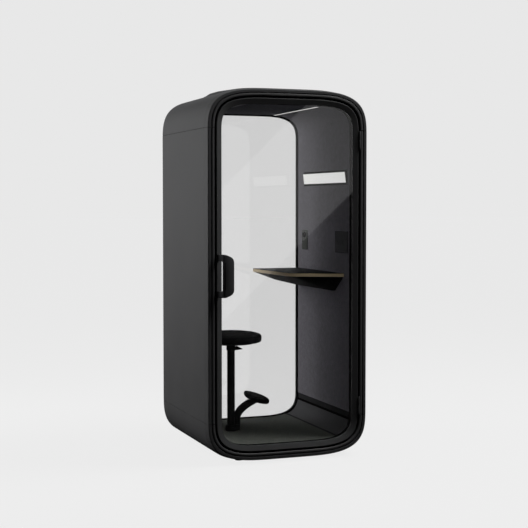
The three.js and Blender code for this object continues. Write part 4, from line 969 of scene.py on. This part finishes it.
def footrestPad():
    bm = bmesh.new()
    bmesh.ops.create_circle(bm, cap_ends=True, segments=pad["steps"], radius=1)
    bmesh.ops.scale(bm, verts=bm.verts, vec=(pad["halfWidth"], pad["halfLength"], 1))
    pushFaces(bm, (0, 0, pad["thick"]))
    soften(bm, sharpEdges(bm.edges), pad["edge"], pad["edgeSteps"])
    under = [face for face in bm.faces if face.normal.z < -pad["flat"]]
    for _ in range(pad["rings"]):  # rings on the flat underside, for its belly
        bmesh.ops.inset_region(bm, faces=under, thickness=pad["ringWidth"], use_even_offset=False)
    for vert in bm.verts:  # the underside is deeper towards the arm
        if vert.co.z < pad["thick"] / 2:
            away = (vert.co.x / pad["halfWidth"]) ** 2 + (vert.co.y / pad["halfLength"]) ** 2
            vert.co.z -= pad["belly"] * max(1 - away, 0)
    return placed(bm, (stool["x"] + pad["reach"], stool["y"], pad["foot"]))


addPiece("footrestPadMoulding", footrestPad(), "blackPlastic", "footrest_pad")

# levelling feet under the base frame
leveller = {"places": [(-270, 140), (270, 140), (-270, 815), (270, 815)], "drop": 12, "stem": 6, "steps": 48,
            "profile": [(0, 0), (24, 0), (25, 1), (25, 6), (23.8, 7.6), (21, 9), (6, 9)]}
for number, place in enumerate(leveller["places"], 1):
    node = f"levelling_foot_{number}"
    stemTop = heights(node)[1]
    profile = raised(leveller["profile"], -leveller["drop"]) + [(leveller["stem"], stemTop), (0, stemTop)]
    footBm = turnedUpright(profile, *place, leveller["steps"])
    addPiece(f"levellingFoot{number}", footBm, "blackRubber", node)

# seat cushion: a round pad with a crown, on the pan
cushion = {"radius": 198, "lift": 0.6, "rim": 4, "round": 11, "roundSteps": 6, "height": 68, "crown": 17,
           "crownPower": 2.6, "crownShares": (0.93, 0.85, 0.75, 0.65, 0.5, 0.35, 0.2, 0), "panFlat": 140,
           "pan": 150, "panLift": 1, "steps": 96, "sharp": 60, "voxel": 0.005, "pressure": 4.0, "cap": 0.004,
           "frames": 20}


def seatCushion():
    base = heights("seat_cushion")[0] + cushion["lift"]
    rimFoot, rimTop = base + cushion["rim"], base + cushion["height"] - cushion["crown"]
    radius, flat = cushion["round"], cushion["radius"] - cushion["round"]
    profile = [(0, base), (cushion["panFlat"], base), (cushion["pan"], base + cushion["panLift"])]
    for middle, start in ((rimFoot + radius, -pi / 2), (rimTop - radius, 0)):
        turns = [start + pi / 2 * i / cushion["roundSteps"] for i in range(cushion["roundSteps"] + 1)]
        profile += [(flat + radius * cos(turn), middle + radius * sin(turn)) for turn in turns]
    for share in cushion["crownShares"]:
        profile.append((flat * share, rimTop + cushion["crown"] * (1 - share ** cushion["crownPower"])))
    return turnedUpright(profile, steps=cushion["steps"])


cushionPiece = addPiece("seatCushionPad", seatCushion(), "seatCloth", "seat_cushion", "seat",
                        cushion["sharp"])


def swell(piece):  # the cover is blown up a little by its foam, as cloth, and the result kept
    remesh = piece.modifiers.new("evenMesh", "REMESH")
    remesh.mode = "VOXEL"
    remesh.voxel_size = cushion["voxel"]
    graph = bpy.context.evaluated_depsgraph_get()
    even = bpy.data.meshes.new_from_object(piece.evaluated_get(graph))
    piece.modifiers.clear()
    rest = [vert.co.copy() for vert in even.vertices]
    worker = bpy.data.objects.new("swellWorker", even)
    scene.collection.objects.link(worker)
    cloth = worker.modifiers.new("cover", "CLOTH")
    cloth.settings.use_pressure = True
    cloth.settings.uniform_pressure_force = cushion["pressure"]
    cloth.settings.effector_weights.gravity = 0
    for number in range(1, cushion["frames"] + 1):
        scene.frame_set(number)
    graph = bpy.context.evaluated_depsgraph_get()
    puffed = bpy.data.meshes.new_from_object(worker.evaluated_get(graph))
    scene.frame_set(1)
    bpy.data.objects.remove(worker)
    floorZ = min(co.z for co in rest)
    for vert, start in zip(puffed.vertices, rest):
        move = vert.co - start
        if move.length > cushion["cap"]:
            move *= cushion["cap"] / move.length
        vert.co = start + move
        vert.co.z = max(vert.co.z, floorZ)
    puffed.polygons.foreach_set("use_smooth", [True] * len(puffed.polygons))
    puffed.materials.clear()
    puffed.materials.append(materials["seatCloth"])
    piece.data = puffed


swell(cushionPiece)
finer = cushionPiece.modifiers.new("finer", "SUBSURF")
finer.levels = finer.render_levels = 1
print("stool made")


# floor, world and lamps

backdrop = {"colour": "e8e8e8", "bounce": "1e1e1e", "size": 120, "lit": 0.05, "front": 0.02, "rear": 0.16,
            "frontY": -0.2, "rearY": 0.7, "panePasses": 3.5}
paleColour = linear(backdrop["colour"])


def seenThrough(tree):  # 1 for what is seen straight, through glass or in the far pane, 0 for bounced light
    path = addNode(tree, "LightPath").outputs
    eye = addNode(tree, "Math", {"operation": "MAXIMUM"},
                  {0: path["Is Camera Ray"], 1: path["Is Transmission Ray"]})
    unturned = addNode(tree, "Math", {"operation": "LESS_THAN", 1: 0.5}, {0: path["Glossy Depth"]})
    farPane = addNode(tree, "Math", {"operation": "GREATER_THAN", 1: backdrop["panePasses"]},
                      {0: path["Transmission Depth"]})
    either = addNode(tree, "Math", {"operation": "MAXIMUM"}, {0: unturned, 1: farPane})
    straight = addNode(tree, "Math", {"operation": "LESS_THAN", 1: 0.5}, {0: path["Diffuse Depth"]})
    direct = addNode(tree, "Math", {"operation": "MULTIPLY"}, {0: either, 1: straight})
    return addNode(tree, "Math", {"operation": "MULTIPLY"}, {0: eye, 1: direct})


def paleFloor(tree, coords, look):  # shows pale and keeps shadows, but gives little light back
    bare = addNode(tree, "BsdfDiffuse", {"Color": paleColour})
    dim = addNode(tree, "BsdfDiffuse", {"Color": linear(look["bounce"])})
    glow = addNode(tree, "Emission", {"Color": paleColour, "Strength": 1 / (1 - look["lit"])})
    pale = addNode(tree, "MixShader", {0: look["lit"]}, {1: glow, 2: bare})
    return addNode(tree, "MixShader", links={0: seenThrough(tree), 1: dim, 2: pale})


floorBm = bmesh.new()
bmesh.ops.create_grid(floorBm, x_segments=1, y_segments=1, size=backdrop["size"])
floorMesh = bpy.data.meshes.new("studioFloor")
floorBm.to_mesh(floorMesh)
floorBm.free()
floorMesh.materials.append(newMaterial("paleStudioFloor", paleFloor, backdrop))
studioFloor = bpy.data.objects.new("studioFloor", floorMesh)
scene.collection.objects.link(studioFloor)

world = bpy.data.worlds.new("studio")
scene.world = world
world.use_nodes = True
tree = world.node_tree
tree.nodes.clear()
heading = addNode(tree, "SeparateXYZ", links={0: addNode(tree, "TexCoord").outputs["Generated"]})
level = addNode(tree, "MapRange", {"From Min": backdrop["frontY"], "From Max": backdrop["rearY"],
                                   "To Min": backdrop["front"], "To Max": backdrop["rear"]},
                {"Value": heading.outputs["Y"]})
pale = addNode(tree, "Background", {"Color": paleColour, "Strength": 1.0})
room = addNode(tree, "Background", {"Color": paleColour}, {"Strength": level})
either = addNode(tree, "MixShader", links={0: seenThrough(tree), 1: room, 2: pale})
addNode(tree, "OutputWorld", links={"Surface": either})

lamps = {  # the sheen is a long thin lamp, only seen in what reflects it
    "keyLeft": {"place": (-4.4, 1.2, 3.4), "aim": (-0.5, 0.0, 1.3), "size": (2.4, 2.4), "power": 82},
    "rearLeft": {"place": (-2.6, 1.8, 1.8), "aim": (0.4, 0.1, 1.1), "size": (1.2, 2.2), "power": 42},
    "frontRight": {"place": (3.2, -1.15, 6.2), "aim": (0.0, -0.4, 1.2), "size": (2.6, 2.6), "power": 480},
    "glassSheen": {"place": (1.787, -4.95, 1.703), "aim": (-0.213, 0.7, 1.643), "size": (0.945, 6.0),
                   "power": 17, "roll": -45, "diffuse": False},
}
for name, lamp in lamps.items():
    data = bpy.data.lights.new(name, "AREA")
    data.shape = "RECTANGLE"
    data.size, data.size_y = lamp["size"]
    data.energy = lamp["power"]
    light = bpy.data.objects.new(name, data)
    light.location = lamp["place"]
    light.rotation_euler = (Vector(lamp["aim"]) - Vector(lamp["place"])).to_track_quat("-Z", "Y").to_euler()
    light.rotation_euler.rotate_axis("Z", radians(lamp.get("roll", 0)))
    light.visible_camera = False
    light.visible_transmission = False
    light.visible_diffuse = lamp.get("diffuse", True)
    scene.collection.objects.link(light)
print("studio set")
